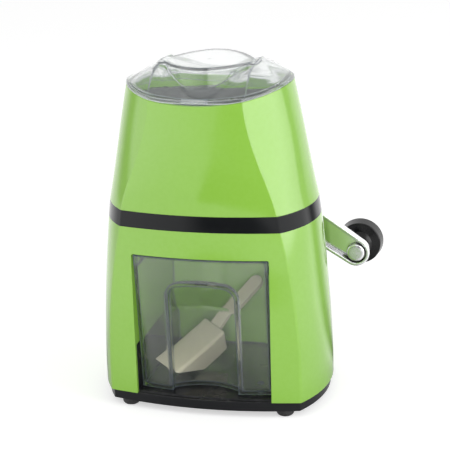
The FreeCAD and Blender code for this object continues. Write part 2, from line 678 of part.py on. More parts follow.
def crusher_shaft():
    """Round journals, a square middle for the blades and two flats at the crank's end."""
    nose_y = circlip_y() - CIRCLIP_THICK - SHAFT_NOSE
    flats_y = hub_start_y() - 0.2
    journal = axle(JOURNAL_R, nose_y, flats_y)
    square = square_bar(SQUARE / 2, -shoulder_y(), shoulder_y())
    end = axle(JOURNAL_R, flats_y, shaft_end_y())
    end = end.common(box(-50, 50, 0, 100, AXLE_Z - FLAT_HALF, AXLE_Z + FLAT_HALF))
    shaft = fuse(journal, square, end)
    groove = axle(JOURNAL_R + 1, circlip_y() - CIRCLIP_THICK, circlip_y())
    groove = groove.cut(axle(CIRCLIP_GROOVE_R, -90, 0))
    tapped = axle(CRANK_SCREW_R + PILOT_FIT, shaft_end_y() - CRANK_SCREW_DEPTH - 1, 90)
    return shaft.cut(groove).cut(tapped)


def shaft_circlip():
    """The spring ring that stops the shaft from sliding back."""
    y0, y1 = circlip_y() - CIRCLIP_THICK, circlip_y()
    ring = axle(CIRCLIP_R, y0, y1).cut(axle(CIRCLIP_GROOVE_R, y0, y1))
    return ring.cut(box(-CIRCLIP_GROOVE_R * 0.7, CIRCLIP_GROOVE_R * 0.7, y0, y1, AXLE_Z, AXLE_Z + 20))


# ================================================================ crank
def rear_bezel():
    """The round plate on the back of the housing, shaped to the facet behind it."""
    plate = axle(BEZEL_R, 40, BEZEL_Y)
    rim = [e for e in plate.Edges if len(e.Vertexes) == 1 and e.BoundBox.YMin > BEZEL_Y - 0.01]
    plate = plate.makeFillet(1.5, rim).cut(axle(JOURNAL_R + FIT * 2, 0, 90))
    low, top = LOWER_LEVELS[-1], UPPER_LEVELS[0]
    for form in (body_form(LOWER_LEVELS), body_form([low, top]), body_form(UPPER_LEVELS)):
        plate = plate.cut(form)
    return plate.common(box(-60, 60, 30, 90, 0, 300))


def hub_start_y():
    """Where the crank's hub begins, behind the bezel."""
    return BEZEL_Y + HUB_GAP


def pin_place():
    """The knob's axis: its distances from the shaft to the side and upwards."""
    a = math.radians(ARM_DROP)
    return ARM_LENGTH * math.cos(a), -ARM_LENGTH * math.sin(a)


def arm_blank(root_r, tip_r, y0, y1):
    """A bar with two round ends around the shaft and the pin, tapering between them."""
    lean = math.asin((root_r - tip_r) / ARM_LENGTH)
    s, c = math.sin(lean), math.cos(lean)
    corners = [V(root_r * s, y0, root_r * c), V(ARM_LENGTH + tip_r * s, y0, tip_r * c),
               V(ARM_LENGTH + tip_r * s, y0, -tip_r * c), V(root_r * s, y0, -root_r * c)]
    web = Part.Face(Part.makePolygon(corners + corners[:1])).extrude(V(0, y1 - y0, 0))
    bar = fuse(web, axle(root_r, y0, y1, 0, 0), axle(tip_r, y0, y1, ARM_LENGTH, 0))
    bar.rotate(V(0, 0, 0), Y_AXIS, ARM_DROP)
    bar.translate(V(0, 0, AXLE_Z))
    return bar


def crank_arm():
    """The bright arm: hollow on the side that faces the body, with a rim round its edge."""
    back_y = ARM_FACE_Y + ARM_THICK
    tip_r = ARM_WIDTH / 2
    arm = arm_blank(ARM_ROOT_R, tip_r, ARM_FACE_Y, back_y)
    outer_edges = [e for e in arm.Edges if e.BoundBox.YMin > back_y - 0.01]
    arm = arm.makeFillet(1.5, outer_edges)
    pocket = arm_blank(ARM_ROOT_R - ARM_RIM, tip_r - ARM_RIM, ARM_FACE_Y - 1, ARM_FACE_Y + ARM_POCKET)
    px, pz = pin_place()
    pocket = pocket.cut(axle(HUB_R, 0, 90)).cut(axle(PIN_BOSS_R, 0, 90, px, AXLE_Z + pz))
    arm = arm.cut(pocket)
    arm = fuse(arm, axle(HUB_R, hub_start_y(), back_y - 2))
    drive = axle(JOURNAL_R + DRIVE_FIT, 0, shaft_end_y() + DRIVE_FIT)
    half = FLAT_HALF + DRIVE_FIT
    drive = drive.common(box(-50, 50, 0, 100, AXLE_Z - half, AXLE_Z + half))
    arm = arm.cut(drive).cut(axle(CRANK_SCREW_R + FIT, 0, 100))
    return arm.cut(axle(PIN_R + DRIVE_FIT, 0, 100, px, AXLE_Z + pz))


def crank_washer():
    """The washer under the crank's screw."""
    y = ARM_FACE_Y + ARM_THICK
    return axle(CRANK_WASHER_R, y, y + CRANK_WASHER).cut(axle(CRANK_SCREW_R + FIT, 0, 100))


def crank_screw():
    """The domed screw in the end of the shaft."""
    y = ARM_FACE_Y + ARM_THICK + CRANK_WASHER
    head = axle(CRANK_SCREW_HEAD_R, y, y + CRANK_SCREW_HEAD)
    rim = [e for e in head.Edges if len(e.Vertexes) == 1 and e.BoundBox.YMin > y + 0.01]
    head = head.makeFillet(CRANK_SCREW_HEAD * 0.6, rim)
    slot = box(-CRANK_SCREW_HEAD_R, CRANK_SCREW_HEAD_R, y + CRANK_SCREW_HEAD * 0.6, y + 9, AXLE_Z - 0.8, AXLE_Z + 0.8)
    shank = axle(CRANK_SCREW_R, shaft_end_y() - CRANK_SCREW_DEPTH, y)
    return fuse(head.cut(slot), shank)


# ================================================================ knob
def at_pin(shape):
    """Moves a shape built on the Y axis to the knob's axis."""
    px, pz = pin_place()
    shape.translate(V(px, 0, AXLE_Z + pz))
    return shape


def turned(profile):
    """A solid turned about the Y axis from (radius, depth) points joined by straight lines."""
    points = [V(r, y, 0) for r, y in profile]
    return Part.Face(Part.makePolygon(points + points[:1])).revolve(V(0, 0, 0), Y_AXIS, 360)


def knob_start_y():
    """Where the knob's neck begins, behind the arm."""
    return ARM_FACE_Y + ARM_THICK + KNOB_GAP


def knob_top_y():
    """The far end of the knob."""
    return knob_start_y() + KNOB_NECK + KNOB_BAND + KNOB_DOME


def knob_seat_y():
    """The shoulder in the knob that its washer bears on."""
    return knob_start_y() + KNOB_NECK + KNOB_SEAT


def knob():
    """A mushroom knob: a waisted neck, a flat face, a round band and a domed end."""
    y0 = knob_start_y()
    face_y = y0 + KNOB_NECK
    band_y = face_y + KNOB_BAND
    top_y = knob_top_y()
    neck_r = KNOB_NECK_R
    edges = [
        line(V(0, y0, 0), V(neck_r, y0, 0)),
        arc(V(neck_r, y0, 0), V(neck_r - 1.2, y0 + KNOB_NECK * 0.45, 0), V(neck_r + 1.5, face_y - 1, 0)),
        line(V(neck_r + 1.5, face_y - 1, 0), V(KNOB_FACE_R - 1, face_y, 0)),
        arc(V(KNOB_FACE_R - 1, face_y, 0), V(KNOB_FACE_R - 0.2, face_y + 0.35, 0), V(KNOB_FACE_R, face_y + 1, 0)),
        line(V(KNOB_FACE_R, face_y + 1, 0), V(KNOB_R, band_y, 0)),
        arc(V(KNOB_R, band_y, 0), V(KNOB_R * 0.78, band_y + KNOB_DOME * 0.68, 0), V(0, top_y, 0)),
        line(V(0, top_y, 0), V(0, y0, 0)),
    ]
    solid = Part.Face(Part.Wire(edges)).revolve(V(0, 0, 0), Y_AXIS, 360)
    bore = disc(PIN_R + RUNNING_FIT, V(0, 0, 0), 150, Y_AXIS)
    well = disc(KNOB_CAP_R, V(0, knob_seat_y(), 0), 60, Y_AXIS)
    return at_pin(solid.cut(bore).cut(well))


def knob_washer():
    """The washer that the knob turns against, under the pin's head."""
    y = knob_seat_y() + 0.3
    ring = tube(PIN_HEAD_R + 0.8, PIN_R + DRIVE_FIT, V(0, y, 0), KNOB_WASHER, Y_AXIS)
    return at_pin(ring)


def knob_pin():
    """The steel pin that the knob turns on, riveted into the arm."""
    head_y = knob_seat_y() + 0.3 + KNOB_WASHER
    shank = disc(PIN_R, V(0, ARM_FACE_Y, 0), head_y - ARM_FACE_Y, Y_AXIS)
    head = disc(PIN_HEAD_R, V(0, head_y, 0), PIN_HEAD, Y_AXIS)
    rivet = disc(PIN_RIVET_R, V(0, ARM_FACE_Y - PIN_RIVET, 0), PIN_RIVET, Y_AXIS)
    return at_pin(fuse(shank, head, rivet))


def knob_cap():
    """The plug that closes the knob's well, flush with its dome."""
    top_y = knob_top_y()
    plug = disc(KNOB_CAP_R - CAP_FIT, V(0, top_y - KNOB_CAP - 0.9, 0), KNOB_CAP, Y_AXIS)
    rim = [e for e in plug.Edges if len(e.Vertexes) == 1 and e.BoundBox.YMin > top_y - KNOB_CAP]
    return at_pin(plug.makeFillet(0.8, rim))


# ================================================================ drawer
def drawer_top_z():
    """Top edge of the drawer's front."""
    return BAY_TOP_Z - DRAWER_TOP_GAP


def drawer_section(z, inset):
    """The drawer's plan at a height: a bulged front that leans back towards its foot, straight sides and back."""
    foot_z, top_z = FLOOR_TOP_Z + DRAWER_LIFT, drawer_top_z()
    t = (z - foot_z) / (top_z - foot_z)
    corner = PANEL_FOOT_CORNER_Y + (PANEL_TOP_CORNER_Y - PANEL_FOOT_CORNER_Y) * t + inset
    middle = PANEL_FOOT_MID_Y + (PANEL_TOP_MID_Y - PANEL_FOOT_MID_Y) * t + inset
    x = BAY_HALF - DRAWER_GAP - inset
    back = DRAWER_BACK_Y - inset
    return Part.Wire([
        arc(V(-x, corner, z), V(0, middle, z), V(x, corner, z)),
        line(V(x, corner, z), V(x, back, z)),
        line(V(x, back, z), V(-x, back, z)),
        line(V(-x, back, z), V(-x, corner, z)),
    ])


def drawer_form(z0, z1, inset):
    """The drawer's outside or inside as a solid."""
    return Part.makeLoft([drawer_section(z0, inset), drawer_section(z1, inset)], True, True)


def niche_section(z, back_y, bow, grow):
    """The finger niche's plan: open to the front, with a curved back."""
    x = NICHE_HALF + grow
    side_y = back_y - bow + grow
    far = -90.0
    return Part.Wire([
        line(V(-x, far, z), V(-x, side_y, z)),
        arc(V(-x, side_y, z), V(0, back_y + grow, z), V(x, side_y, z)),
        line(V(x, side_y, z), V(x, far, z)),
        line(V(x, far, z), V(-x, far, z)),
    ])


def niche_form(grow=0.0):
    """The space of the finger niche, or with grow the wall round it as well."""
    low_z = FLOOR_TOP_Z - 5
    shelf_z = NICHE_CEILING_Z + grow
    top_z = NICHE_TOP_Z + 2 + grow
    shaft = Part.makeLoft([niche_section(low_z, NICHE_FOOT_Y, NICHE_BOW, grow),
                           niche_section(shelf_z, NICHE_CEILING_Y, NICHE_BOW, grow)], True, True)
    ceiling = Part.makeLoft([niche_section(shelf_z, NICHE_CEILING_Y, NICHE_BOW, grow),
                             niche_section(top_z, NICHE_MOUTH_Y, NICHE_MOUTH_BOW, grow)], True, True)
    x, y = NICHE_HALF + grow, -85.0
    spring, top = NICHE_SPRING_Z, NICHE_TOP_Z + grow
    r, turn = NICHE_CORNER_R + grow, math.radians(NICHE_HAUNCH_ANGLE)
    haunch_x, haunch_z = x - r + r * math.cos(turn), spring + r * math.sin(turn)
    bend_x, bend_z = x - r + r * math.cos(turn / 2), spring + r * math.sin(turn / 2)
    arch = Part.Wire([
        line(V(-x, y, low_z), V(-x, y, spring)),
        arc(V(-x, y, spring), V(-bend_x, y, bend_z), V(-haunch_x, y, haunch_z)),
        arc(V(-haunch_x, y, haunch_z), V(0, y, top), V(haunch_x, y, haunch_z)),
        arc(V(haunch_x, y, haunch_z), V(bend_x, y, bend_z), V(x, y, spring)),
        line(V(x, y, spring), V(x, y, low_z)),
        line(V(x, y, low_z), V(-x, y, low_z)),
    ])
    front = Part.Face(arch).extrude(V(0, 85, 0))
    return fuse(shaft, ceiling).common(front)


def drawer():
    """The smoke drawer that catches the ice: leaning front, finger niche, lower side and back walls."""
    foot_z, top_z = FLOOR_TOP_Z + DRAWER_LIFT, drawer_top_z()
    outer = drawer_form(foot_z, top_z, 0)
    inner = drawer_form(foot_z + DRAWER_WALL, top_z + 5, DRAWER_WALL).cut(niche_form(DRAWER_WALL))
    tray = outer.cut(inner).cut(niche_form())
    behind_front = PANEL_TOP_CORNER_Y + DRAWER_WALL + 1.5
    return tray.cut(box(-80, 80, behind_front, 80, top_z - DRAWER_BOX_DROP, top_z + 10))


# ================================================================ scoop
def scoop():
    """The loose scoop that lies face down in the drawer, its handle up against the back wall."""
    length, rim, w, d, wall = SCOOP_LENGTH, SCOOP_RIM, SCOOP_WIDTH, SCOOP_DEPTH, SCOOP_WALL
    # built with its heel at X = 0, its bowl along -X, its width along -Y and its depth along Z

    def side(inset, shift, low):
        heel = -inset
        tip = -length - shift
        return [V(heel, -inset, low), V(heel, -inset, d + low), V(heel - rim - shift, -inset, d + low),
                V(tip, -inset, low)]

    outer = side(0, 0, 0)
    inner = side(wall, 30, wall)
    block = Part.Face(Part.makePolygon(outer + outer[:1])).extrude(V(0, -w, 0))
    round_off = [e for e in block.Edges if e.BoundBox.ZMax < 0.01 and e.BoundBox.XLength > 1]
    round_off += [e for e in block.Edges if e.BoundBox.ZMax < 0.01 and e.BoundBox.XMin > -0.01]
    round_off += [e for e in block.Edges if e.BoundBox.XMin > -0.01 and e.BoundBox.ZLength > 1]
    block = block.makeFillet(SCOOP_EDGE_R, round_off)
    hollow = Part.Face(Part.makePolygon(inner + inner[:1])).extrude(V(0, 2 * wall - w, 0))
    y0 = -(w + SCOOP_HANDLE_WIDTH) / 2
    z0 = SCOOP_HANDLE_SINK
    end = SCOOP_HANDLE_LENGTH - SCOOP_HANDLE_WIDTH / 2
    grip = box(-wall, end, y0, y0 + SCOOP_HANDLE_WIDTH, z0, z0 + SCOOP_HANDLE_THICK)
    grip = grip.fuse(disc(SCOOP_HANDLE_WIDTH / 2, V(end, -w / 2, z0), SCOOP_HANDLE_THICK))
    web = box(-wall, end, -w / 2 - 1, -w / 2 + 1, z0 + 1, z0 + SCOOP_HANDLE_THICK + 2.2)
    grip = grip.fuse(web)
    grip.rotate(V(0, 0, z0), Y_AXIS, SCOOP_HANDLE_BEND)
    piece = fuse(block, grip).cut(hollow)
    across = SCOOP_DOWN.cross(SCOOP_ALONG)
    piece.Placement = FreeCAD.Placement(SCOOP_CORNER, FreeCAD.Rotation(SCOOP_ALONG, across, SCOOP_DOWN, "XZY"))
    return piece


# ================================================================ lid
def ridge_at(value, out):
    """The ridge's height at a distance from the middle plane, or with out its distance at a height."""
    rows = [(d, z) for d, z in LID_RIDGE] if not out else [(z, d) for d, z in reversed(LID_RIDGE)]
    for (a0, b0), (a1, b1) in zip(rows, rows[1:]):
        if a0 <= value <= a1:
            return b0 + (b1 - b0) * (value - a0) / (a1 - a0)
    raise ValueError(f"no ridge at {value}")


def lobe_form(side, drop):
    """One side lobe of the lid, lowered for the inside."""
    wires = []
    for z, reach, shoulder, across in LOBE_LEVELS:
        inset = drop * 0.25
        depth, root = ridge_at(z, True) - inset, side * (LID_RIDGE_X - 0.6)
        curve = Part.BSplineCurve()
        curve.interpolate([V(root, -depth, z - drop), V(side * (shoulder - inset), -across, z - drop),
                           V(side * (reach - inset), 0, z - drop), V(side * (shoulder - inset), across, z - drop),
                           V(root, depth, z - drop)])
        wires.append(Part.Wire([curve.toShape(), line(V(root, depth, z - drop), V(root, -depth, z - drop))]))
    return Part.makeLoft(wires, True, False)


def recess_form(drop):
    """The space above the front finger recess: its floor is low in the middle and rises to the two ridges."""
    wires = []
    for depth in (60.0, 47.0, 42.8, 38.0, 32.0, 24.0, 12.0, -1.0):
        floor_z = LID_FLOOR_Z + (49.0 - depth) * LID_FLOOR_SLOPE
        ridge_z = max(ridge_at(depth, False), floor_z + 0.3) - drop
        floor_z -= drop
        x, y = LID_RIDGE_X, -depth
        wires.append(Part.Wire([
            arc(V(-x, y, ridge_z), V(0, y, floor_z), V(x, y, ridge_z)),
            line(V(x, y, ridge_z), V(x, y, 270)),
            line(V(x, y, 270), V(-x, y, 270)),
            line(V(-x, y, 270), V(-x, y, ridge_z)),
        ]))
    return Part.makeLoft(wires, True, False)


def eye(half_x, half_y, z):
    """The eye-shaped plan of the grip: two parabolas that meet in two tips."""
    edges = []
    for side in (-1, 1):
        curve = Part.BezierCurve()
        curve.setPoles([V(side * half_x, 0, z), V(0, side * 2 * half_y, z), V(-side * half_x, 0, z)])
        edges.append(curve.toShape())
    return Part.Wire(edges)


def grip_form(inset, drop):
    """The raised grip in the middle of the lid: flared walls and a slightly crowned top."""
    foot_z = LID_FLOOR_Z - 2
    top_z = LID_CREST_Z + LID_CROWN + 3
    rise = (LID_CREST_Z - foot_z) / (top_z - foot_z)
    flare = GRIP_FLARE
    hx, hy = GRIP_HALF_X - inset * 1.6, GRIP_HALF_Y - inset
    shrink = flare * (1 - rise) / rise
    block = Part.makeLoft([eye(hx + flare, hy + flare, foot_z), eye(hx - shrink, hy - shrink, top_z)], True, True)
    crown_r = (GRIP_HALF_X ** 2 + LID_CROWN ** 2) / (2 * LID_CROWN)
    crown = Part.makeCylinder(crown_r, 300, V(0, -150, LID_CREST_Z + LID_CROWN - drop - crown_r), Y_AXIS)
    return block.common(crown)


def lid_form(wall):
    """The lid as a full solid, or its inside when wall is the thickness taken off."""
    walls = body_form(UPPER_LEVELS, wall)
    front = box(-LID_RIDGE_X, LID_RIDGE_X, -70, 0, LOBE_LEVELS[0][0] - wall - 1, LID_CREST_Z - wall)
    front = front.cut(recess_form(wall)).common(walls)
    back = front.mirror(V(0, 0, 0), Y_AXIS)
    lobes = [lobe_form(side, wall).common(walls) for side in (-1, 1)]
    form = fuse(front, back, *lobes, grip_form(wall, wall).common(walls))
    return form.common(slab(RIM_Z - 20, CAP_Z + 20))


def lid():
    """The clear lid: side lobes, two finger recesses with the grip between them, and a lip inside the rim."""
    outer = lid_form(0).common(above_saddle(LID_GAP))
    inner = lid_form(LID_WALL)
    shell = outer.cut(inner)
    lip_out = SHELL_WALL + FIT + LID_LIP * LID_LIP_DRAFT
    lip_in = lip_out + LID_LIP_WALL
    land = body_form(UPPER_LEVELS).cut(body_form(UPPER_LEVELS, lip_in))
    land = land.common(above_saddle(LID_GAP)).cut(above_saddle(LID_GAP + LID_LAND)).common(outer)
    lip = body_form(UPPER_LEVELS, lip_out).cut(body_form(UPPER_LEVELS, lip_in))
    lip = lip.common(above_saddle(-LID_LIP)).cut(above_saddle(LID_GAP + LID_LAND / 2))
    return fuse(shell, land, lip)


# ================================================================ all the pieces
PIECES = {
    "base_tray": base_tray,
    "rubber_feet": rubber_feet,
    "base_screws": base_screws,
    "lower_shell": lower_shell,
    "chassis_band": chassis_band,
    "upper_screws": upper_screws,
    "upper_shell": upper_shell,
    "hopper_liner": hopper_liner,
    "crusher_cage": crusher_cage,
    "cage_screws": cage_screws,
    "comb_left": lambda: comb(-1),
    "comb_right": lambda: comb(1),
    "comb_screws": comb_screws,
    "front_bush": lambda: cage_bush(-1),
    "middle_bush": lambda: cage_bush(1),
    "rear_bush": rear_bush,
    "rear_bezel": rear_bezel,
    "crusher_shaft": crusher_shaft,
    "shaft_circlip": shaft_circlip,
    "rotor_spacers": rotor_spacers,
    "crank_arm": crank_arm,
    "crank_washer": crank_washer,
    "crank_screw": crank_screw,
    "knob_pin": knob_pin,
    "knob_washer": knob_washer,
    "knob": knob,
    "knob_cap": knob_cap,
    "drawer": drawer,
    "scoop": scoop,
    "lid": lid,
}
for number in range(ROTOR_COUNT):
    PIECES[f"rotor_blade_{number + 1}"] = lambda number=number: rotor_blade(number)

os.makedirs("parts", exist_ok=True)
for name, make in PIECES.items():
    shape = make()
    shape.exportStep(os.path.join("parts", name + ".step"))
    b = shape.BoundBox
    print(f"{name:16s} solids {len(shape.Solids)} valid {shape.isValid()} volume {shape.Volume:10.1f} "
          f"x {b.XMin:7.2f} {b.XMax:7.2f} y {b.YMin:7.2f} {b.YMax:7.2f} z {b.ZMin:7.2f} {b.ZMax:7.2f}")
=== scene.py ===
"""Finishes, small mouldings, studio and camera for a hand cranked ice crusher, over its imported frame.

The frame gives every solid of the crusher. Each sub-assembly is a class here that dresses its own nodes
and adds the small marks that moulding and turning leave on such pieces.
"""
from __future__ import annotations

import logging
import math
from dataclasses import dataclass, field
from enum import Enum
from functools import cached_property
from typing import ClassVar, Sequence, Union

import bmesh
import bpy
from mathutils import Matrix, Vector
from mathutils.bvhtree import BVHTree

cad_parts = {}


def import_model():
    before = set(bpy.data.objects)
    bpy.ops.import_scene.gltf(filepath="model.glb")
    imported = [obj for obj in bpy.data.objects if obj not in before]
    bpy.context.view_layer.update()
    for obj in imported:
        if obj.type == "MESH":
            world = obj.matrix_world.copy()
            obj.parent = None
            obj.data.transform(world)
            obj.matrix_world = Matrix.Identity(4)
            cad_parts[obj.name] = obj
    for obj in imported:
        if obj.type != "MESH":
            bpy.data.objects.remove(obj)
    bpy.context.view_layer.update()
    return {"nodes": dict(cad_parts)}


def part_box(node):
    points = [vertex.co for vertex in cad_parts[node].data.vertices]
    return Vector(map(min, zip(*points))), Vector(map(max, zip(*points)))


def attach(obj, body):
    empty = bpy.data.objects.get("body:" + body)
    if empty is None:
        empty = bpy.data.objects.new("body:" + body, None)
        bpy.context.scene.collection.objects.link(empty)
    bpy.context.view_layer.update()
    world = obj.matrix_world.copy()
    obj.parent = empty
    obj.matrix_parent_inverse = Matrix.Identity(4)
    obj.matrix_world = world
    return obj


LOG = logging.getLogger("ice_crusher")

NOISE_RANGE = (0.3, 0.7)         # what most of a noise texture's values lie between
ON_AXIS = 1e-9                   # a turned profile's radius below which its point lies on the axis
SHARP_ANGLE = math.radians(40)   # between faces that are shaded apart

Rgb = tuple[float, float, float]
Socket = bpy.types.NodeSocket
Value = Union[Socket, float, Rgb]
Pair = tuple[float, float]

UP: Rgb = (0.0, 0.0, 1.0)
DOWN: Rgb = (0.0, 0.0, -1.0)


# ---------------------------------------------------------------- wiring of nodes
class Graph:
    """A node tree that is being wired."""

    def __init__(self, tree: bpy.types.NodeTree) -> None:
        """Takes over an empty node tree of a material, a world or a node group."""
        self.tree = tree

    def add(self, kind: str, **settings: object) -> bpy.types.Node:
        """Adds a node of one of Blender's classes, with its properties set."""
        node = self.tree.nodes.new(kind)
        for name, value in settings.items():
            setattr(node, name, value)
        return node

    def feed(self, into: Socket, value: Value) -> None:
        """Links a socket or writes a plain value.

        Args:
            into: the input to feed.
            value: an output socket, a number or a colour.
        """
        if isinstance(value, bpy.types.NodeSocket):
            self.tree.links.new(value, into)
        elif isinstance(value, (int, float)):
            into.default_value = value
        else:
            value = tuple(value)
            missing = len(into.default_value) - len(value)
            into.default_value = value + (1.0,) * missing

    def math(self, operation: str, a: Value, b: Value = 0.0, clamp: bool = False) -> Socket:
        """The result of a Math node."""
        node = self.add("ShaderNodeMath", operation=operation, use_clamp=clamp)
        self.feed(node.inputs[0], a)
        self.feed(node.inputs[1], b)
        return node.outputs[0]

    def vector(self, operation: str, a: Value, b: Value | None = None) -> bpy.types.Node:
        """Adds a Vector Math node, whose outputs are Vector and Value."""
        node = self.add("ShaderNodeVectorMath", operation=operation)
        self.feed(node.inputs[0], a)
        if b is not None:
            self.feed(node.inputs[1], b)
        return node

    def bump(self, height: Socket, distance: float, normal: Socket) -> Socket:
        """The normal of a surface that is raised by a height, in units of a distance in metres."""
        node = self.add("ShaderNodeBump")
        node.inputs["Distance"].default_value = distance
        self.feed(node.inputs["Height"], height)
        self.feed(node.inputs["Normal"], normal)
        return node.outputs[0]

    def mix(self, share: Value, a: Socket, b: Socket) -> Socket:
        """Mixes two shaders; the share is how much of the second one shows."""
        node = self.add("ShaderNodeMixShader")
        for index, item in enumerate((share, a, b)):
            self.feed(node.inputs[index], item)
        return node.outputs[0]

    def span(self, value: Value, low: float, high: float,
             to_low: Value = 0.0, to_high: Value = 1.0) -> Socket:
        """Maps a range of values to another one, smoothly at both ends."""
        node = self.add("ShaderNodeMapRange", interpolation_type="SMOOTHSTEP")
        for index, item in enumerate((value, low, high, to_low, to_high)):
            self.feed(node.inputs[index], item)
        return node.outputs[0]

    def blend(self, share: Value, a: Value, b: Value) -> Socket:
        """Mixes two colours; the share is how much of the second one shows."""
        node = self.add("ShaderNodeMix", data_type="RGBA")
        self.feed(node.inputs[0], share)
        self.feed(node.inputs[6], a)
        self.feed(node.inputs[7], b)
        return node.outputs[2]

    def place(self, group: bpy.types.NodeTree, **values: Value) -> dict[str, Socket]:
        """Places a node group, feeds its inputs by name, with _ for a space, and returns its outputs."""
        node = self.add("ShaderNodeGroup", node_tree=group)
        for name, value in values.items():
            self.feed(node.inputs[name.replace("_", " ")], value)
        return {out.name: out for out in node.outputs}

    def noise(self, scale: Value, detail: float = 2.0, where: Value | None = None) -> Socket:
        """A noise texture around 0.5, with its features per metre, its octaves and where it is read."""
        node = self.add("ShaderNodeTexNoise")
        self.feed(node.inputs["Vector"], where if where is not None else self.own())
        self.feed(node.inputs["Scale"], scale)
        node.inputs["Detail"].default_value = detail
        return node.outputs[0]

    def own(self) -> Socket:
        """The coordinates of the piece itself, which move with it."""
        return self.add("ShaderNodeTexCoord").outputs["Object"]

    def stretched(self, stretch: Value, turn: Rgb = (0.0, 0.0, 0.0)) -> Socket:
        """The piece's coordinates, turned by angles in radians and stretched along each axis."""
        node = self.add("ShaderNodeMapping")
        self.feed(node.inputs["Vector"], self.own())
        node.inputs["Rotation"].default_value = turn
        self.feed(node.inputs["Scale"], stretch)
        return node.outputs[0]


class Effects:
    """The surface effects that several finishes share, each built once as a node group."""

    FLECKS_PER_CLOUD: ClassVar[float] = 37.0
    FLECK_SHARE: ClassVar[float] = 0.35
    FLECK_RANGE: ClassVar[Pair] = (0.35, 0.65)
    FADE: ClassVar[float] = 0.6            # of the saturation, where pigment is lighter
    TURN_RANGE: ClassVar[Pair] = (0.01, 0.18)   # how far a rounded normal leans
    LOOKS: ClassVar[int] = 6               # samples round a point, for edges and corners
    RUB_SCALE: ClassVar[float] = 210.0
    RUB_RANGE: ClassVar[Pair] = (0.4, 0.62)
    SCRATCH_STRETCH: ClassVar[float] = 34.0
    SCRATCH_RISE: ClassVar[float] = 0.03
    # each direction of wiping: its turn about the axes, and how rare its scratches are
    SCRATCH_WAYS: ClassVar[tuple[tuple[Rgb, float], ...]] = (
        ((0.5, 0.9, 0.2), 0.69), ((1.9, 0.3, 1.1), 0.71), ((0.2, 2.2, 2.6), 0.70))
    CORNER_RANGE: ClassVar[Pair] = (0.25, 0.85)   # how open a corner looks
    DRIFT_SCALE: ClassVar[float] = 70.0
    DRIFT_RANGE: ClassVar[Pair] = (0.42, 0.75)
    UP_RANGE: ClassVar[Pair] = (0.25, 1.0)        # how far up a face looks that dust settles on
    SPECK_RANGE: ClassVar[Pair] = (0.04, 0.12)
    SPECK_SHARE: ClassVar[float] = 0.25

    def _open(self, name: str, takes: dict[str, object],
              gives: dict[str, str]) -> tuple[Graph, dict[str, Socket], bpy.types.Node]:
        """Opens a new group, with the default of each input and the type of each output by name."""
        tree = bpy.data.node_groups.new(name, "ShaderNodeTree")
        for label, default in takes.items():
            kind = "Float" if isinstance(default, float) else ("Color" if len(default) == 4 else "Vector")
            socket = tree.interface.new_socket(
                name=label, in_out="INPUT", socket_type=f"NodeSocket{kind}")
            socket.default_value = default
        for label, kind in gives.items():
            tree.interface.new_socket(name=label, in_out="OUTPUT", socket_type=f"NodeSocket{kind}")
        graph = Graph(tree)
        source, sink = graph.add("NodeGroupInput"), graph.add("NodeGroupOutput")
        return graph, {s.name: s for s in source.outputs}, sink

    @cached_property
    def tone(self) -> bpy.types.NodeTree:
        """Slow clouds of lighter and darker colour, as pigment flows in a mould."""
        g, i, out = self._open(
            "pigment_tone", {"Colour": (0.5, 0.5, 0.5, 1.0), "Scale": 9.0, "Amount": 0.03},
            {"Colour": "Color"})
        cloud = g.span(g.noise(i["Scale"], 3.0), *NOISE_RANGE, -1.0, 1.0)
        fleck_scale = g.math("MULTIPLY", i["Scale"], self.FLECKS_PER_CLOUD)
        fleck = g.span(g.noise(fleck_scale, 1.0), *self.FLECK_RANGE, -self.FLECK_SHARE, self.FLECK_SHARE)
        shade = g.add("ShaderNodeHueSaturation")
        change = g.math("MULTIPLY", g.math("ADD", cloud, fleck), i["Amount"])
        g.feed(shade.inputs["Value"], g.math("ADD", change, 1.0))
        faded = g.math("MULTIPLY", change, self.FADE)
        g.feed(shade.inputs["Saturation"], g.math("SUBTRACT", 1.0, faded))
        g.feed(shade.inputs["Color"], i["Colour"])
        g.feed(out.inputs["Colour"], shade.outputs[0])
        return g.tree

    @cached_property
    def skin(self) -> bpy.types.NodeTree:
        """The height of a moulded skin: a slow orange peel and a fine grain."""
        g, i, out = self._open(
            "mould_skin", {"Peel Scale": 160.0, "Peel": 0.4, "Grain Scale": 2400.0, "Grain": 0.1},
            {"Height": "Float"})
        peel = g.math("MULTIPLY", g.noise(i["Peel Scale"], 1.0), i["Peel"])
        grain = g.math("MULTIPLY", g.noise(i["Grain Scale"], 3.0), i["Grain"])
        g.feed(out.inputs["Height"], g.math("ADD", peel, grain))
        return g.tree

    @cached_property
    def edges(self) -> bpy.types.NodeTree:
        """Softened edges: a rounded normal, and a mask of where hands and other pieces rub."""
        g, i, out = self._open(
            "soft_edges", {"Radius": 0.0005}, {"Normal": "Vector", "Mask": "Float", "Turn": "Float"})
        bevel = g.add("ShaderNodeBevel", samples=self.LOOKS)
        g.feed(bevel.inputs["Radius"], i["Radius"])
        plain = g.add("ShaderNodeNewGeometry").outputs["Normal"]
        facing = g.vector("DOT_PRODUCT", bevel.outputs[0], plain)
        turn = g.span(g.math("SUBTRACT", 1.0, facing.outputs["Value"]), *self.TURN_RANGE)
        patchy = g.span(g.noise(self.RUB_SCALE, 3.0), *self.RUB_RANGE)
        g.feed(out.inputs["Normal"], bevel.outputs[0])
        g.feed(out.inputs["Mask"], g.math("MULTIPLY", turn, patchy))
        # Turn marks the edges; the clear finishes paint their edge lines with it
        g.feed(out.inputs["Turn"], turn)
        return g.tree

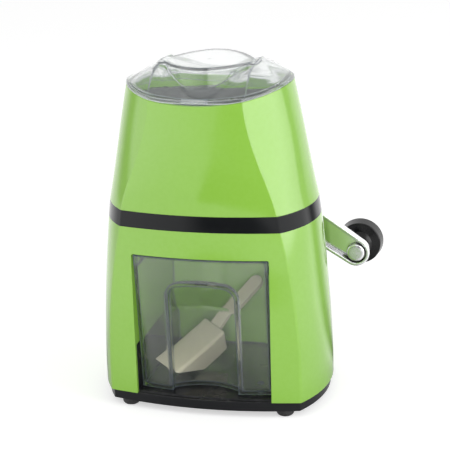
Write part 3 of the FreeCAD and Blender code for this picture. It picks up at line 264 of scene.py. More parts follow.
    @cached_property
    def hairlines(self) -> bpy.types.NodeTree:
        """Fine scratches from wiping, in three directions."""
        g, i, out = self._open("hairlines", {"Scale": 60.0, "Amount": 0.5}, {"Mask": "Float"})
        total: Value = 0.0
        for turn, rarity in self.SCRATCH_WAYS:
            line = g.noise(i["Scale"], 1.0, g.stretched((1.0, self.SCRATCH_STRETCH, 1.0), turn))
            total = g.math("MAXIMUM", total, g.span(line, rarity, rarity + self.SCRATCH_RISE))
        g.feed(out.inputs["Mask"], g.math("MULTIPLY", total, i["Amount"]))
        return g.tree

    @cached_property
    def brushed(self) -> bpy.types.NodeTree:
        """Parallel grinding lines along one axis."""
        g, i, out = self._open(
            "brushed_lines", {"Stretch": (1.0, 1.0, 1.0), "Scale": 900.0}, {"Mask": "Float"})
        lines = g.noise(i["Scale"], 4.0, g.stretched(i["Stretch"]))
        g.feed(out.inputs["Mask"], g.span(lines, *NOISE_RANGE))
        return g.tree

    @cached_property
    def turned(self) -> bpy.types.NodeTree:
        """Fine rings around an axis that runs front to back, as a lathe leaves them."""
        g, i, out = self._open(
            "turned_rings", {"Centre": (0.0, 0.0, 0.0), "Scale": 5200.0}, {"Mask": "Float"})
        away = g.vector("SUBTRACT", g.own(), i["Centre"])
        flat = g.vector("MULTIPLY", away.outputs[0], (1.0, 0.0, 1.0))
        reach = g.vector("LENGTH", flat.outputs[0])
        rings = g.add("ShaderNodeTexNoise", noise_dimensions="1D")
        g.feed(rings.inputs["W"], g.math("MULTIPLY", reach.outputs["Value"], i["Scale"]))
        rings.inputs["Scale"].default_value = 1.0
        g.feed(out.inputs["Mask"], g.span(rings.outputs[0], *NOISE_RANGE))
        return g.tree

    @cached_property
    def corners(self) -> bpy.types.NodeTree:
        """A mask of painted shade in the inner corners, where little light comes: ambient occlusion darkens
        the colour there.
        """
        g, i, out = self._open(
            "painted_corner_shade", {"Distance": 0.004, "Amount": 0.5}, {"Mask": "Float"})
        shade = g.add("ShaderNodeAmbientOcclusion", samples=self.LOOKS)
        g.feed(shade.inputs["Distance"], i["Distance"])
        deep = g.span(shade.outputs["AO"], *self.CORNER_RANGE, 1.0, 0.0)
        g.feed(out.inputs["Mask"], g.math("MULTIPLY", deep, i["Amount"]))
        return g.tree

    @cached_property
    def dust(self) -> bpy.types.NodeTree:
        """A little dust on what faces up, and a few specks anywhere."""
        g, i, out = self._open("settled_dust", {"Amount": 0.1, "Scale": 900.0}, {"Mask": "Float"})
        split = g.add("ShaderNodeSeparateXYZ")
        g.feed(split.inputs[0], g.add("ShaderNodeTexCoord").outputs["Normal"])
        up = g.span(split.outputs["Z"], *self.UP_RANGE)
        drift = g.span(g.noise(self.DRIFT_SCALE, 4.0), *self.DRIFT_RANGE)
        speck = g.add("ShaderNodeTexVoronoi")
        g.feed(speck.inputs["Vector"], g.own())
        g.feed(speck.inputs["Scale"], i["Scale"])
        spots = g.span(speck.outputs["Distance"], *self.SPECK_RANGE, self.SPECK_SHARE, 0.0)
        both = g.math("ADD", g.math("MULTIPLY", up, drift), spots, clamp=True)
        g.feed(out.inputs["Mask"], g.math("MULTIPLY", both, i["Amount"]))
        return g.tree


# ---------------------------------------------------------------- finishes
class MetalGrain(Enum):
    """How a metal's surface was worked."""

    PLATED = "plated"
    BRUSHED = "brushed"
    TURNED = "turned"
    SINTERED = "sintered"


def emptied(holder: bpy.types.Material | bpy.types.World) -> Graph:
    """Gives a material or a world an empty node tree to wire."""
    holder.use_nodes = True
    holder.node_tree.nodes.clear()
    return Graph(holder.node_tree)


def new_material(name: str) -> tuple[bpy.types.Material, Graph, bpy.types.Node, bpy.types.Node]:
    """Makes a material with a Principled shader, and returns it with its graph, shader and output."""
    material = bpy.data.materials.new(name)
    graph = emptied(material)
    shader = graph.add("ShaderNodeBsdfPrincipled")
    out = graph.add("ShaderNodeOutputMaterial")
    graph.feed(out.inputs["Surface"], shader.outputs[0])
    return material, graph, shader, out


@dataclass(frozen=True)
class Moulded:
    """An opaque moulded plastic or rubber."""

    slot: str
    colour: Rgb
    roughness: float
    patchy: float = 0.03
    tone: float = 0.03
    peel: float = 0.4
    grain: float = 0.1
    relief: float = 0.00002
    edge: float = 0.0005
    rub_colour: Rgb = (0.5, 0.5, 0.5)
    rub: float = 0.2
    scratches: float = 0.4
    dust: float = 0.06
    dust_colour: Rgb = (0.5, 0.49, 0.46)
    ior: float = 1.5
    sheen: float = 0.0
    subsurface: float = 0.0

    BLOTCHES: ClassVar[float] = 34.0         # changes of gloss per metre
    SCRATCH_DULL: ClassVar[float] = 0.12     # what scratches, dust and rubbing add to the roughness
    DUST_DULL: ClassVar[float] = 0.9
    RUB_DULL: ClassVar[float] = 0.1
    SCRATCH_DEPTH: ClassVar[float] = 0.15    # as a share of the relief
    SCATTER: ClassVar[Rgb] = (0.003, 0.003, 0.002)

    def make(self, effects: Effects) -> bpy.types.Material:
        """Builds the material.

        Args:
            effects: the shared node groups.

        Returns:
            The material.
        """
        material, g, shader, _ = new_material(self.slot)
        edge = g.place(effects.edges, Radius=self.edge)
        lines = g.place(effects.hairlines, Amount=self.scratches)["Mask"]
        dust = g.place(effects.dust, Amount=self.dust)["Mask"]
        colour = g.place(effects.tone, Colour=self.colour, Amount=self.tone)["Colour"]
        colour = g.blend(g.math("MULTIPLY", edge["Mask"], self.rub), colour, self.rub_colour)
        g.feed(shader.inputs["Base Color"], g.blend(dust, colour, self.dust_colour))
        rough = g.span(g.noise(self.BLOTCHES, 3.0), *NOISE_RANGE,
                       self.roughness - self.patchy, self.roughness + self.patchy)
        rough = g.math("ADD", rough, g.math("MULTIPLY", lines, self.SCRATCH_DULL))
        rough = g.math("ADD", rough, g.math("MULTIPLY", dust, self.DUST_DULL))
        rubbed = g.math("MULTIPLY", edge["Mask"], self.RUB_DULL * self.rub)
        rough = g.math("ADD", rough, rubbed, clamp=True)
        g.feed(shader.inputs["Roughness"], rough)
        skin = g.place(effects.skin, Peel=self.peel, Grain=self.grain)["Height"]
        height = g.math("SUBTRACT", skin, g.math("MULTIPLY", lines, self.SCRATCH_DEPTH))
        g.feed(shader.inputs["Normal"], g.bump(height, self.relief, edge["Normal"]))
        shader.inputs["IOR"].default_value = self.ior
        shader.inputs["Sheen Weight"].default_value = self.sheen
        shader.inputs["Subsurface Weight"].default_value = self.subsurface
        shader.inputs["Subsurface Radius"].default_value = self.SCATTER
        return material


@dataclass(frozen=True)
class ClearMoulding:
    """A see-through moulded plastic, a little hazy, with painted blue-grey lines along its edges that stand
    in for the light and shade of rounded edges; lamps shine through it.
    """

    slot: str
    tint: Rgb
    shadow: Rgb
    roughness: float = 0.015
    ior: float = 1.49
    ripple: float = 0.5
    scratches: float = 0.5
    dust: float = 0.03
    haze: float = 0.05
    haze_colour: Rgb = (0.8, 0.82, 0.82)
    edge: float = 0.0008
    # painted edge lines: how much of the veil shows along the edges, and its colour there, in place of the
    # light and shade of rounded edges
    painted_edge_share: float = 0.4
    painted_edge_colour: Rgb = (0.6, 0.63, 0.68)
    depth: float = 9.0   # bounces after which light passes straight

    SCRATCH_SCALE: ClassVar[float] = 45.0
    TINT_SCALE: ClassVar[float] = 14.0
    TINT_CHANGE: ClassVar[float] = 0.02
    DUST_COLOUR: ClassVar[Rgb] = (0.8, 0.8, 0.78)
    BLOTCHES: ClassVar[float] = 28.0         # changes of gloss per metre
    BLOTCH_RANGE: ClassVar[Pair] = (0.6, 1.4)
    SCRATCH_DULL: ClassVar[float] = 0.05     # what scratches and dust add to the roughness
    DUST_DULL: ClassVar[float] = 0.6
    RIPPLE_SCALE: ClassVar[float] = 55.0
    RIPPLE_RELIEF: ClassVar[float] = 0.00003
    SCRATCH_VEIL: ClassVar[float] = 0.04     # what scratches add to the haze

    def make(self, effects: Effects) -> bpy.types.Material:
        """Builds the material.

        Args:
            effects: the shared node groups.

        Returns:
            The material.
        """
        material, g, shader, out = new_material(self.slot)
        lines = g.place(effects.hairlines, Scale=self.SCRATCH_SCALE, Amount=self.scratches)["Mask"]
        dust = g.place(effects.dust, Amount=self.dust)["Mask"]
        edge = g.place(effects.edges, Radius=self.edge)
        tint = g.place(
            effects.tone, Colour=self.tint, Scale=self.TINT_SCALE, Amount=self.TINT_CHANGE)["Colour"]
        g.feed(shader.inputs["Base Color"], g.blend(dust, tint, self.DUST_COLOUR))
        rough = g.span(g.noise(self.BLOTCHES, 2.0), *NOISE_RANGE,
                       *(self.roughness * share for share in self.BLOTCH_RANGE))
        rough = g.math("ADD", rough, g.math("MULTIPLY", lines, self.SCRATCH_DULL))
        rough = g.math("ADD", rough, g.math("MULTIPLY", dust, self.DUST_DULL), clamp=True)
        g.feed(shader.inputs["Roughness"], rough)
        ripples = g.place(
            effects.skin, Peel_Scale=self.RIPPLE_SCALE, Peel=self.ripple, Grain=0.0)["Height"]
        g.feed(shader.inputs["Normal"], g.bump(ripples, self.RIPPLE_RELIEF, edge["Normal"]))
        shader.inputs["Transmission Weight"].default_value = 1.0
        shader.inputs["IOR"].default_value = self.ior
        # painted edge lines: along the edges the veil turns blue-grey and thicker, standing in for the
        # light and shade of rounded clear edges
        haze_and_painted_edge_colour = g.blend(edge["Turn"], self.haze_colour, self.painted_edge_colour)
        front, back = g.add("ShaderNodeBsdfDiffuse"), g.add("ShaderNodeBsdfTranslucent")
        g.feed(front.inputs["Color"], haze_and_painted_edge_colour)
        g.feed(back.inputs["Color"], haze_and_painted_edge_colour)
        veil = g.mix(0.5, front.outputs[0], back.outputs[0])
        share = g.math("ADD", g.math("MULTIPLY", edge["Turn"], self.painted_edge_share - self.haze), self.haze)
        share = g.math("ADD", share, g.math("MULTIPLY", lines, self.SCRATCH_VEIL), clamp=True)
        body = g.mix(share, shader.outputs[0], veil)
        through = g.add("ShaderNodeBsdfTransparent")
        through.inputs[0].default_value = (*self.shadow, 1.0)
        path = g.add("ShaderNodeLightPath")
        passing = g.math("MAXIMUM", path.outputs["Is Shadow Ray"], path.outputs["Is Diffuse Ray"])
        deep = g.math("GREATER_THAN", path.outputs["Ray Depth"], self.depth)
        passing = g.math("MAXIMUM", passing, deep)
        g.feed(out.inputs["Surface"], g.mix(passing, body, through.outputs[0]))
        return material


@dataclass(frozen=True)
class Metal:
    """A metal, worked in one of the ways of MetalGrain."""

    slot: str
    colour: Rgb
    roughness: float
    grain: MetalGrain
    stretch: Rgb = (1.0, 1.0, 1.0)
    centre: Rgb = (0.0, 0.0, 0.0)
    relief: float = 0.00001
    contrast: float = 0.1
    edge: float = 0.0003
    tarnish: Rgb = (0.3, 0.29, 0.27)
    tarnished: float = 0.1
    # share of painted shade in inner corners, where little light comes
    corners: float = 0.4

    SCRATCH_SCALE: ClassVar[float] = 110.0
    SCRATCH_AMOUNT: ClassVar[float] = 0.5
    HAZE_SCALE: ClassVar[float] = 46.0
    HAZE_RANGE: ClassVar[Pair] = (0.45, 0.7)
    RUB_GAIN: ClassVar[float] = 1.12         # how much brighter rubbed edges are
    RUB: ClassVar[float] = 0.5
    CORNER_SHADE_LEFT: ClassVar[float] = 0.12            # what is left of the colour in inner corners, under painted shade
    SCRATCH_DULL: ClassVar[float] = 0.08     # what scratches and haze add to the roughness
    HAZE_DULL: ClassVar[float] = 0.06
    SCRATCH_DEPTH: ClassVar[float] = 0.4     # as a share of the relief
    # moulded skin's settings for a sintered and for a plated surface
    SINTERED_SKIN: ClassVar[dict[str, float]] = {
        "Peel_Scale": 1600.0, "Peel": 0.6, "Grain_Scale": 4200.0, "Grain": 0.5}
    PLATED_SKIN: ClassVar[dict[str, float]] = {
        "Peel_Scale": 120.0, "Peel": 0.7, "Grain_Scale": 900.0, "Grain": 0.15}

    def make(self, effects: Effects) -> bpy.types.Material:
        """Builds the material.

        Args:
            effects: the shared node groups.

        Returns:
            The material.
        """
        material, g, shader, _ = new_material(self.slot)
        if self.grain is MetalGrain.BRUSHED:
            marks = g.place(effects.brushed, Stretch=self.stretch)["Mask"]
        elif self.grain is MetalGrain.TURNED:
            marks = g.place(effects.turned, Centre=self.centre)["Mask"]
        else:
            skin = self.SINTERED_SKIN if self.grain is MetalGrain.SINTERED else self.PLATED_SKIN
            marks = g.place(effects.skin, **skin)["Height"]
        lines = g.place(effects.hairlines, Scale=self.SCRATCH_SCALE, Amount=self.SCRATCH_AMOUNT)["Mask"]
        edge = g.place(effects.edges, Radius=self.edge)
        haze = g.span(g.noise(self.HAZE_SCALE, 5.0), *self.HAZE_RANGE)
        base = g.blend(g.math("MULTIPLY", haze, self.tarnished), self.colour, self.tarnish)
        bright = tuple(min(1.0, c * self.RUB_GAIN) for c in self.colour)
        base = g.blend(g.math("MULTIPLY", edge["Mask"], self.RUB), base, bright)
        # painted shade: inner corners darkened by ambient occlusion
        corner_shade = g.place(effects.corners, Amount=self.corners)["Mask"]
        dark = tuple(self.CORNER_SHADE_LEFT * c for c in self.colour)
        g.feed(shader.inputs["Base Color"], g.blend(corner_shade, base, dark))
        half = self.contrast / 2
        rough = g.span(marks, 0.0, 1.0, self.roughness - half, self.roughness + half)
        rough = g.math("ADD", rough, g.math("MULTIPLY", lines, self.SCRATCH_DULL))
        rough = g.math("ADD", rough, g.math("MULTIPLY", haze, self.HAZE_DULL), clamp=True)
        g.feed(shader.inputs["Roughness"], rough)
        height = g.math("SUBTRACT", marks, g.math("MULTIPLY", lines, self.SCRATCH_DEPTH))
        g.feed(shader.inputs["Normal"], g.bump(height, self.relief, edge["Normal"]))
        shader.inputs["Metallic"].default_value = 1.0
        return material


# points on the axes of the shaft and of the knob's pin, which their turned rings run round
SHAFT: Rgb = (0.0, 0.0, 0.1415)
KNOB_PIN: Rgb = (0.09038, 0.0, 0.08292)
BLACK_RUB: Rgb = (0.16, 0.16, 0.165)
FINISHES: tuple[Union[Moulded, ClearMoulding, Metal], ...] = (
    Moulded("green_shell", (0.282, 0.556, 0.072), 0.09, patchy=0.015, tone=0.02, peel=0.35, grain=0.02,
            rub_colour=(0.42, 0.70, 0.2), rub=0.25, scratches=0.25, dust=0.02, edge=0.0006),
    Moulded("band_black", (0.010, 0.011, 0.012), 0.07, patchy=0.015, tone=0.05, peel=0.3, grain=0.02,
            rub_colour=BLACK_RUB, rub=0.15, scratches=0.35, dust=0.04, ior=1.28),
    Moulded("base_black", (0.014, 0.0145, 0.016), 0.16, patchy=0.03, tone=0.06, peel=0.4, grain=0.05,
            rub_colour=BLACK_RUB, rub=0.25, scratches=0.45, dust=0.05, edge=0.0008, ior=1.33),
    Moulded("cage_black", (0.022, 0.0225, 0.024), 0.38, tone=0.08, grain=0.5, relief=0.00004,
            rub_colour=BLACK_RUB, rub=0.3, dust=0.05),
    Moulded("liner_grey", (0.10, 0.105, 0.11), 0.3, tone=0.05, grain=0.35, relief=0.00003,
            rub_colour=(0.3, 0.3, 0.31), rub=0.25, dust=0.05),
    Moulded("bezel_black", (0.02, 0.0205, 0.022), 0.3, tone=0.06, grain=0.3, relief=0.00003,
            rub_colour=BLACK_RUB, rub=0.3),
    Moulded("scoop_ivory", (0.74, 0.69, 0.55), 0.22, tone=0.02, peel=0.5, grain=0.08, subsurface=0.15,
            rub_colour=(0.85, 0.82, 0.72), rub=0.3, scratches=0.5, dust=0.03),
    Moulded("knob_black", (0.006, 0.006, 0.0066), 0.2, patchy=0.04, tone=0.08, peel=0.3, grain=0.4,
            relief=0.00002, rub_colour=BLACK_RUB, rub=0.2, dust=0.02, ior=1.3),
    Moulded("foot_rubber", (0.014, 0.014, 0.0145), 0.62, patchy=0.06, tone=0.12, peel=0.6, grain=0.9,
            relief=0.00008, rub_colour=(0.08, 0.08, 0.08), rub=0.4, dust=0.12, sheen=0.1),
    # the lid gets pale blue-grey painted edge lines, the drawer dark ones
    ClearMoulding("lid_clear", (0.985, 0.995, 0.995), (0.93, 0.95, 0.95), haze=0.11,
                  haze_colour=(0.7, 0.73, 0.74), edge=0.0012, painted_edge_share=0.5, painted_edge_colour=(0.48, 0.52, 0.6)),
    ClearMoulding("smoke_clear", (0.96, 0.965, 0.945), (0.985, 0.99, 0.98), roughness=0.02, haze=0.06,
                  haze_colour=(0.5, 0.56, 0.54), edge=0.0027, painted_edge_share=0.85,
                  painted_edge_colour=(0.14, 0.165, 0.22)),
    Metal("blade_steel", (0.60, 0.61, 0.62), 0.3, MetalGrain.BRUSHED,
          stretch=(1.0, 0.05, 12.0), contrast=0.2),
    Metal("shaft_steel", (0.56, 0.57, 0.58), 0.26, MetalGrain.TURNED, centre=SHAFT, contrast=0.16),
    Metal("spacer_steel", (0.54, 0.55, 0.56), 0.3, MetalGrain.TURNED, centre=SHAFT, contrast=0.2),
    Metal("spring_steel", (0.24, 0.245, 0.26), 0.35, MetalGrain.SINTERED, tarnished=0.3),
    Metal("screw_steel", (0.64, 0.65, 0.66), 0.24, MetalGrain.PLATED, contrast=0.14),
    Metal("pin_steel", (0.58, 0.59, 0.60), 0.22, MetalGrain.TURNED, centre=KNOB_PIN, contrast=0.16),
    Metal("bush_bronze", (0.55, 0.40, 0.22), 0.4, MetalGrain.SINTERED,
          tarnish=(0.25, 0.16, 0.08), tarnished=0.3),
    # the arm is given strong painted shade in the inner corners of its channel and round its pin
    Metal("arm_chrome", (0.78, 0.785, 0.80), 0.09, MetalGrain.PLATED, contrast=0.05, relief=0.000006,
          edge=0.0022, tarnished=0.04, corners=0.85),
)


# ---------------------------------------------------------------- bench
def lathe(name: str, profile: Sequence[Pair], segments: int = 48,
          closed: bool = False) -> bpy.types.Mesh:
    """Turns a profile about Z into a closed mesh.

    Args:
        name: the mesh's name.
        profile: pairs of radius and height, in metres.
        segments: steps round the axis.
        closed: joins the profile's ends, for a ring; otherwise they lie on the axis.

    Returns:
        The mesh.
    """
    shape = bmesh.new()
    rings: list[list[bmesh.types.BMVert]] = []
    turns = [math.tau * k / segments for k in range(segments)]
    for radius, height in profile:
        if radius < ON_AXIS:
            rings.append([shape.verts.new((0.0, 0.0, height))])
            continue
        spots = [(radius * math.cos(t), radius * math.sin(t), height) for t in turns]
        rings.append([shape.verts.new(spot) for spot in spots])
    pairs = list(zip(rings, rings[1:])) + ([(rings[-1], rings[0])] if closed else [])
    for low, high in pairs:
        for k in range(segments):
            n = (k + 1) % segments
            corners = [low[k % len(low)], low[n % len(low)], high[n % len(high)], high[k % len(high)]]
            unique = list(dict.fromkeys(corners))
            if len(unique) > 2:
                shape.faces.new(unique)
    bmesh.ops.recalc_face_normals(shape, faces=shape.faces)
    mesh = bpy.data.meshes.new(name)
    shape.to_mesh(mesh)
    shape.free()
    mesh.shade_smooth()
    mesh.set_sharp_from_angle(angle=SHARP_ANGLE)
    return mesh


@dataclass
class Bench:
    """What every sub-assembly works with: the frame's nodes, the finishes and the shared effects."""

    nodes: dict[str, bpy.types.Object]
    materials: dict[str, bpy.types.Material] = field(default_factory=dict)
    trees: dict[str, BVHTree] = field(default_factory=dict)

    def mix_finishes(self) -> None:
        """Builds every finish once."""
        effects = Effects()
        for finish in FINISHES:
            self.materials[finish.slot] = finish.make(effects)
        LOG.info("finishes: %d", len(self.materials))

    def dress(self, node: str, slot: str) -> None:
        """Puts the finish of a slot on a node of the frame."""
        for holder in self.nodes[node].material_slots:
            holder.material = self.materials[slot]
        LOG.info("dressed %s in %s", node, slot)

    def add(self, name: str, mesh: bpy.types.Mesh, body: str, slot: str,
            place: Matrix) -> bpy.types.Object:
        """Adds a new piece to a body.

        Args:
            name: the piece's name.
            mesh: its mesh.
            body: the body that it rides on.
            slot: the finish's slot.
            place: where it goes.

        Returns:
            The piece.
        """
        mesh.transform(place)
        mesh.materials.append(self.materials[slot])
        piece = bpy.data.objects.new(name, mesh)
        bpy.context.scene.collection.objects.link(piece)
        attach(piece, body)
        LOG.info("piece %s on %s: %d faces", name, body, len(mesh.polygons))
        return piece

    def seat(self, node: str, start: Rgb, way: Rgb) -> Matrix | None:
        """Finds where a ray meets a node.

        Args:
            node: the node's name.
            start: the ray's start, in metres.
            way: its direction.

        Returns:
            The place there with Z along the surface's normal, or None if the ray misses.
        """
        if node not in self.trees:
            mesh = self.nodes[node].data
            self.trees[node] = BVHTree.FromPolygons(
                [v.co for v in mesh.vertices], [tuple(p.vertices) for p in mesh.polygons])
        spot, normal, _, _ = self.trees[node].ray_cast(Vector(start), Vector(way))
        if spot is None:
            return None
        if normal.dot(Vector(way)) > 0:
            normal.negate()
        return Matrix.Translation(spot) @ normal.to_track_quat("Z", "Y").to_matrix().to_4x4()


def witness(name: str, radius: float, height: float) -> bpy.types.Mesh:
    """The low round mark of an ejector pin in a moulding, with a fine raised rim and a sunk back."""
    sink = height * 2
    profile = [(0.0, -sink), (radius, -sink), (radius, height * 0.6), (radius - height * 0.5, height),
               (radius - height * 2, height), (radius - height * 3, height * 0.35), (0.0, height * 0.35)]
    return lathe(name, profile, 40)


def gate(name: str, radius: float, height: float) -> bpy.types.Mesh:
    """The small nib where a moulding was fed: a cone that was broken off."""
    profile = [(0.0, -height), (radius, -height), (radius, 0.0), (radius * 0.62, height * 0.75),
               (radius * 0.45, height), (radius * 0.2, height * 0.85), (0.0, height * 0.92)]
    return lathe(name, profile, 28)


# ---------------------------------------------------------------- sub-assemblies
class Subassembly:
    """A group of pieces that is built and dressed together."""

    title: ClassVar[str] = ""
    finishes: ClassVar[dict[str, str]] = {}

    def build(self, bench: Bench) -> None:
        """Adds the group's small pieces; most groups have none."""

    def dress(self, bench: Bench) -> None:
        """Puts the finishes on the group's nodes."""
        for node, slot in self.finishes.items():
            bench.dress(node, slot)


@dataclass
class BaseUnit(Subassembly):
    """The black base on its rubber feet."""

    title: ClassVar[str] = "base"
    finishes: ClassVar[dict[str, str]] = {
        "base_tray": "base_black", "rubber_feet": "foot_rubber", "base_screws": "screw_steel"}
    pin_radius: float = 0.003
    pin_height: float = 0.00012
    pins_x: tuple[float, ...] = (-0.04, 0.0, 0.04)
    pins_y: tuple[float, ...] = (-0.022, 0.022)
    gate_radius: float = 0.0016
    gate_height: float = 0.0004
    below: float = -0.01   # height from which the base's underside is sought

    def build(self, bench: Bench) -> None:
        """Adds the ejector marks under the base and its gate."""
        for row, y in enumerate(self.pins_y):
            for column, x in enumerate(self.pins_x):
                place = bench.seat("base_tray", (x, y, self.below), UP)
                if place:
                    name = f"base_pin_mark_{row}{column}"
                    mark = witness(name, self.pin_radius, self.pin_height)
                    bench.add(name, mark, "housing", "base_black", place)
        place = bench.seat("base_tray", (0.0, 0.0, self.below), UP)
        if place:
            nib = gate("base_gate", self.gate_radius, self.gate_height)
            bench.add("base_gate", nib, "housing", "base_black", place)


@dataclass
class Housing(Subassembly):
    """The two green shells and the black band between them."""

    title: ClassVar[str] = "housing"
    finishes: ClassVar[dict[str, str]] = {
        "lower_shell": "green_shell", "upper_shell": "green_shell", "chassis_band": "band_black",
        "upper_screws": "screw_steel", "rear_bezel": "bezel_black", "rear_bush": "bush_bronze"}


@dataclass
class Hopper(Subassembly):
    """The funnel that leads the ice to the blades."""

    title: ClassVar[str] = "hopper"
    finishes: ClassVar[dict[str, str]] = {"hopper_liner": "liner_grey"}


@dataclass
class Crusher(Subassembly):
    """The cage with its combs, and the bladed rotor between them."""

    title: ClassVar[str] = "crusher"
    finishes: ClassVar[dict[str, str]] = {
        "crusher_cage": "cage_black", "cage_screws": "screw_steel", "comb_left": "blade_steel",
        "comb_right": "blade_steel", "comb_screws": "screw_steel", "front_bush": "bush_bronze",
        "middle_bush": "bush_bronze", "crusher_shaft": "shaft_steel", "shaft_circlip": "spring_steel",
        "rotor_spacers": "spacer_steel", **{f"rotor_blade_{n}": "blade_steel" for n in range(1, 6)}}


@dataclass
class Crank(Subassembly):
    """The pressed chrome arm with its screw and the knob's pin."""

    title: ClassVar[str] = "crank"
    finishes: ClassVar[dict[str, str]] = {
        "crank_arm": "arm_chrome", "crank_washer": "screw_steel", "crank_screw": "screw_steel",
        "knob_pin": "pin_steel", "knob_washer": "screw_steel"}


@dataclass
class Knob(Subassembly):
    """The black knob that turns on the crank's pin."""

    title: ClassVar[str] = "knob"
    finishes: ClassVar[dict[str, str]] = {"knob": "knob_black", "knob_cap": "knob_black"}
    bead: float = 0.00012
    sunk: float = 0.35   # share of the bead's radius that lies below the surface
    segments: int = 96

    def build(self, bench: Bench) -> None:
        """Adds the fine bead that the mould's joint leaves round the knob's widest place."""
        low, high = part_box("knob")
        middle = (low + high) / 2
        widest = max(bench.nodes["knob"].data.vertices,
                     key=lambda v: math.hypot(v.co.x - middle.x, v.co.z - middle.z)).co
        reach = math.hypot(widest.x - middle.x, widest.z - middle.z)
        turns = [math.tau * k / 8 for k in range(8)]
        ring = [(reach + self.bead * (math.cos(t) - self.sunk), self.bead * math.sin(t)) for t in turns]
        centre = Matrix.Translation((middle.x, widest.y, middle.z))
        place = centre @ Matrix.Rotation(math.radians(-90), 4, "X")
        name = "knob_mould_bead"
        bench.add(name, lathe(name, ring, self.segments, closed=True), "knob", "knob_black", place)


@dataclass
class Drawer(Subassembly):
    """The smoke-tinted drawer that catches the ice."""

    title: ClassVar[str] = "drawer"
    finishes: ClassVar[dict[str, str]] = {"drawer": "smoke_clear"}
    pins: tuple[Pair, ...] = ((0.036, -0.026), (0.036, 0.03))
    pin_radius: float = 0.0025
    pin_height: float = 0.0001
    above: float = 0.08   # height from which the drawer's floor is sought

    def build(self, bench: Bench) -> None:
        """Adds the ejector marks on the drawer's floor."""
        for number, (x, y) in enumerate(self.pins):
            place = bench.seat("drawer", (x, y, self.above), DOWN)
            if place:
                name = f"drawer_pin_mark_{number}"
                mark = witness(name, self.pin_radius, self.pin_height)
                bench.add(name, mark, "drawer", "smoke_clear", place)


@dataclass
class Scoop(Subassembly):
    """The loose ivory scoop in the drawer."""

    title: ClassVar[str] = "scoop"
    finishes: ClassVar[dict[str, str]] = {"scoop": "scoop_ivory"}


@dataclass
class Lid(Subassembly):
    """The clear lid with its grip."""

    title: ClassVar[str] = "lid"
    finishes: ClassVar[dict[str, str]] = {"lid": "lid_clear"}
    gate_radius: float = 0.0012
    gate_height: float = 0.00025
    inside: float = 0.232   # height inside the grip from which its roof is sought

    def build(self, bench: Bench) -> None:
        """Adds the gate's nib inside the grip."""
        place = bench.seat("lid", (0.0, 0.0, self.inside), UP)
        if place:
            nib = gate("lid_gate", self.gate_radius, self.gate_height)
            bench.add("lid_gate", nib, "lid", "lid_clear", place)


# ---------------------------------------------------------------- studio
def outwards(azimuth: float, elevation: float) -> Vector:
    """The direction at an azimuth, counted from the front to the right, and an elevation, in radians."""
    level = math.cos(elevation)
    return Vector((math.sin(azimuth) * level, -math.cos(azimuth) * level, math.sin(elevation)))


@dataclass(frozen=True)
class Lamp:
    """A soft lamp that looks at the object."""

    name: str
    azimuth: float
    elevation: float
    distance: float
    size: float
    power: float

    def make(self, target: Vector) -> None:
        """Adds the lamp, looking at the target."""
        back = outwards(math.radians(self.azimuth), math.radians(self.elevation))
        data = bpy.data.lights.new(self.name, "AREA")
        data.shape, data.size, data.energy = "DISK", self.size, self.power
        lamp = bpy.data.objects.new(self.name, data)
        lamp.location = target + back * self.distance
        lamp.rotation_mode = "QUATERNION"
        lamp.rotation_quaternion = back.to_track_quat("Z", "Y")
        lamp.visible_glossy = False
        lamp.visible_transmission = False
        bpy.context.scene.collection.objects.link(lamp)
        LOG.info("lamp %s", self.name)


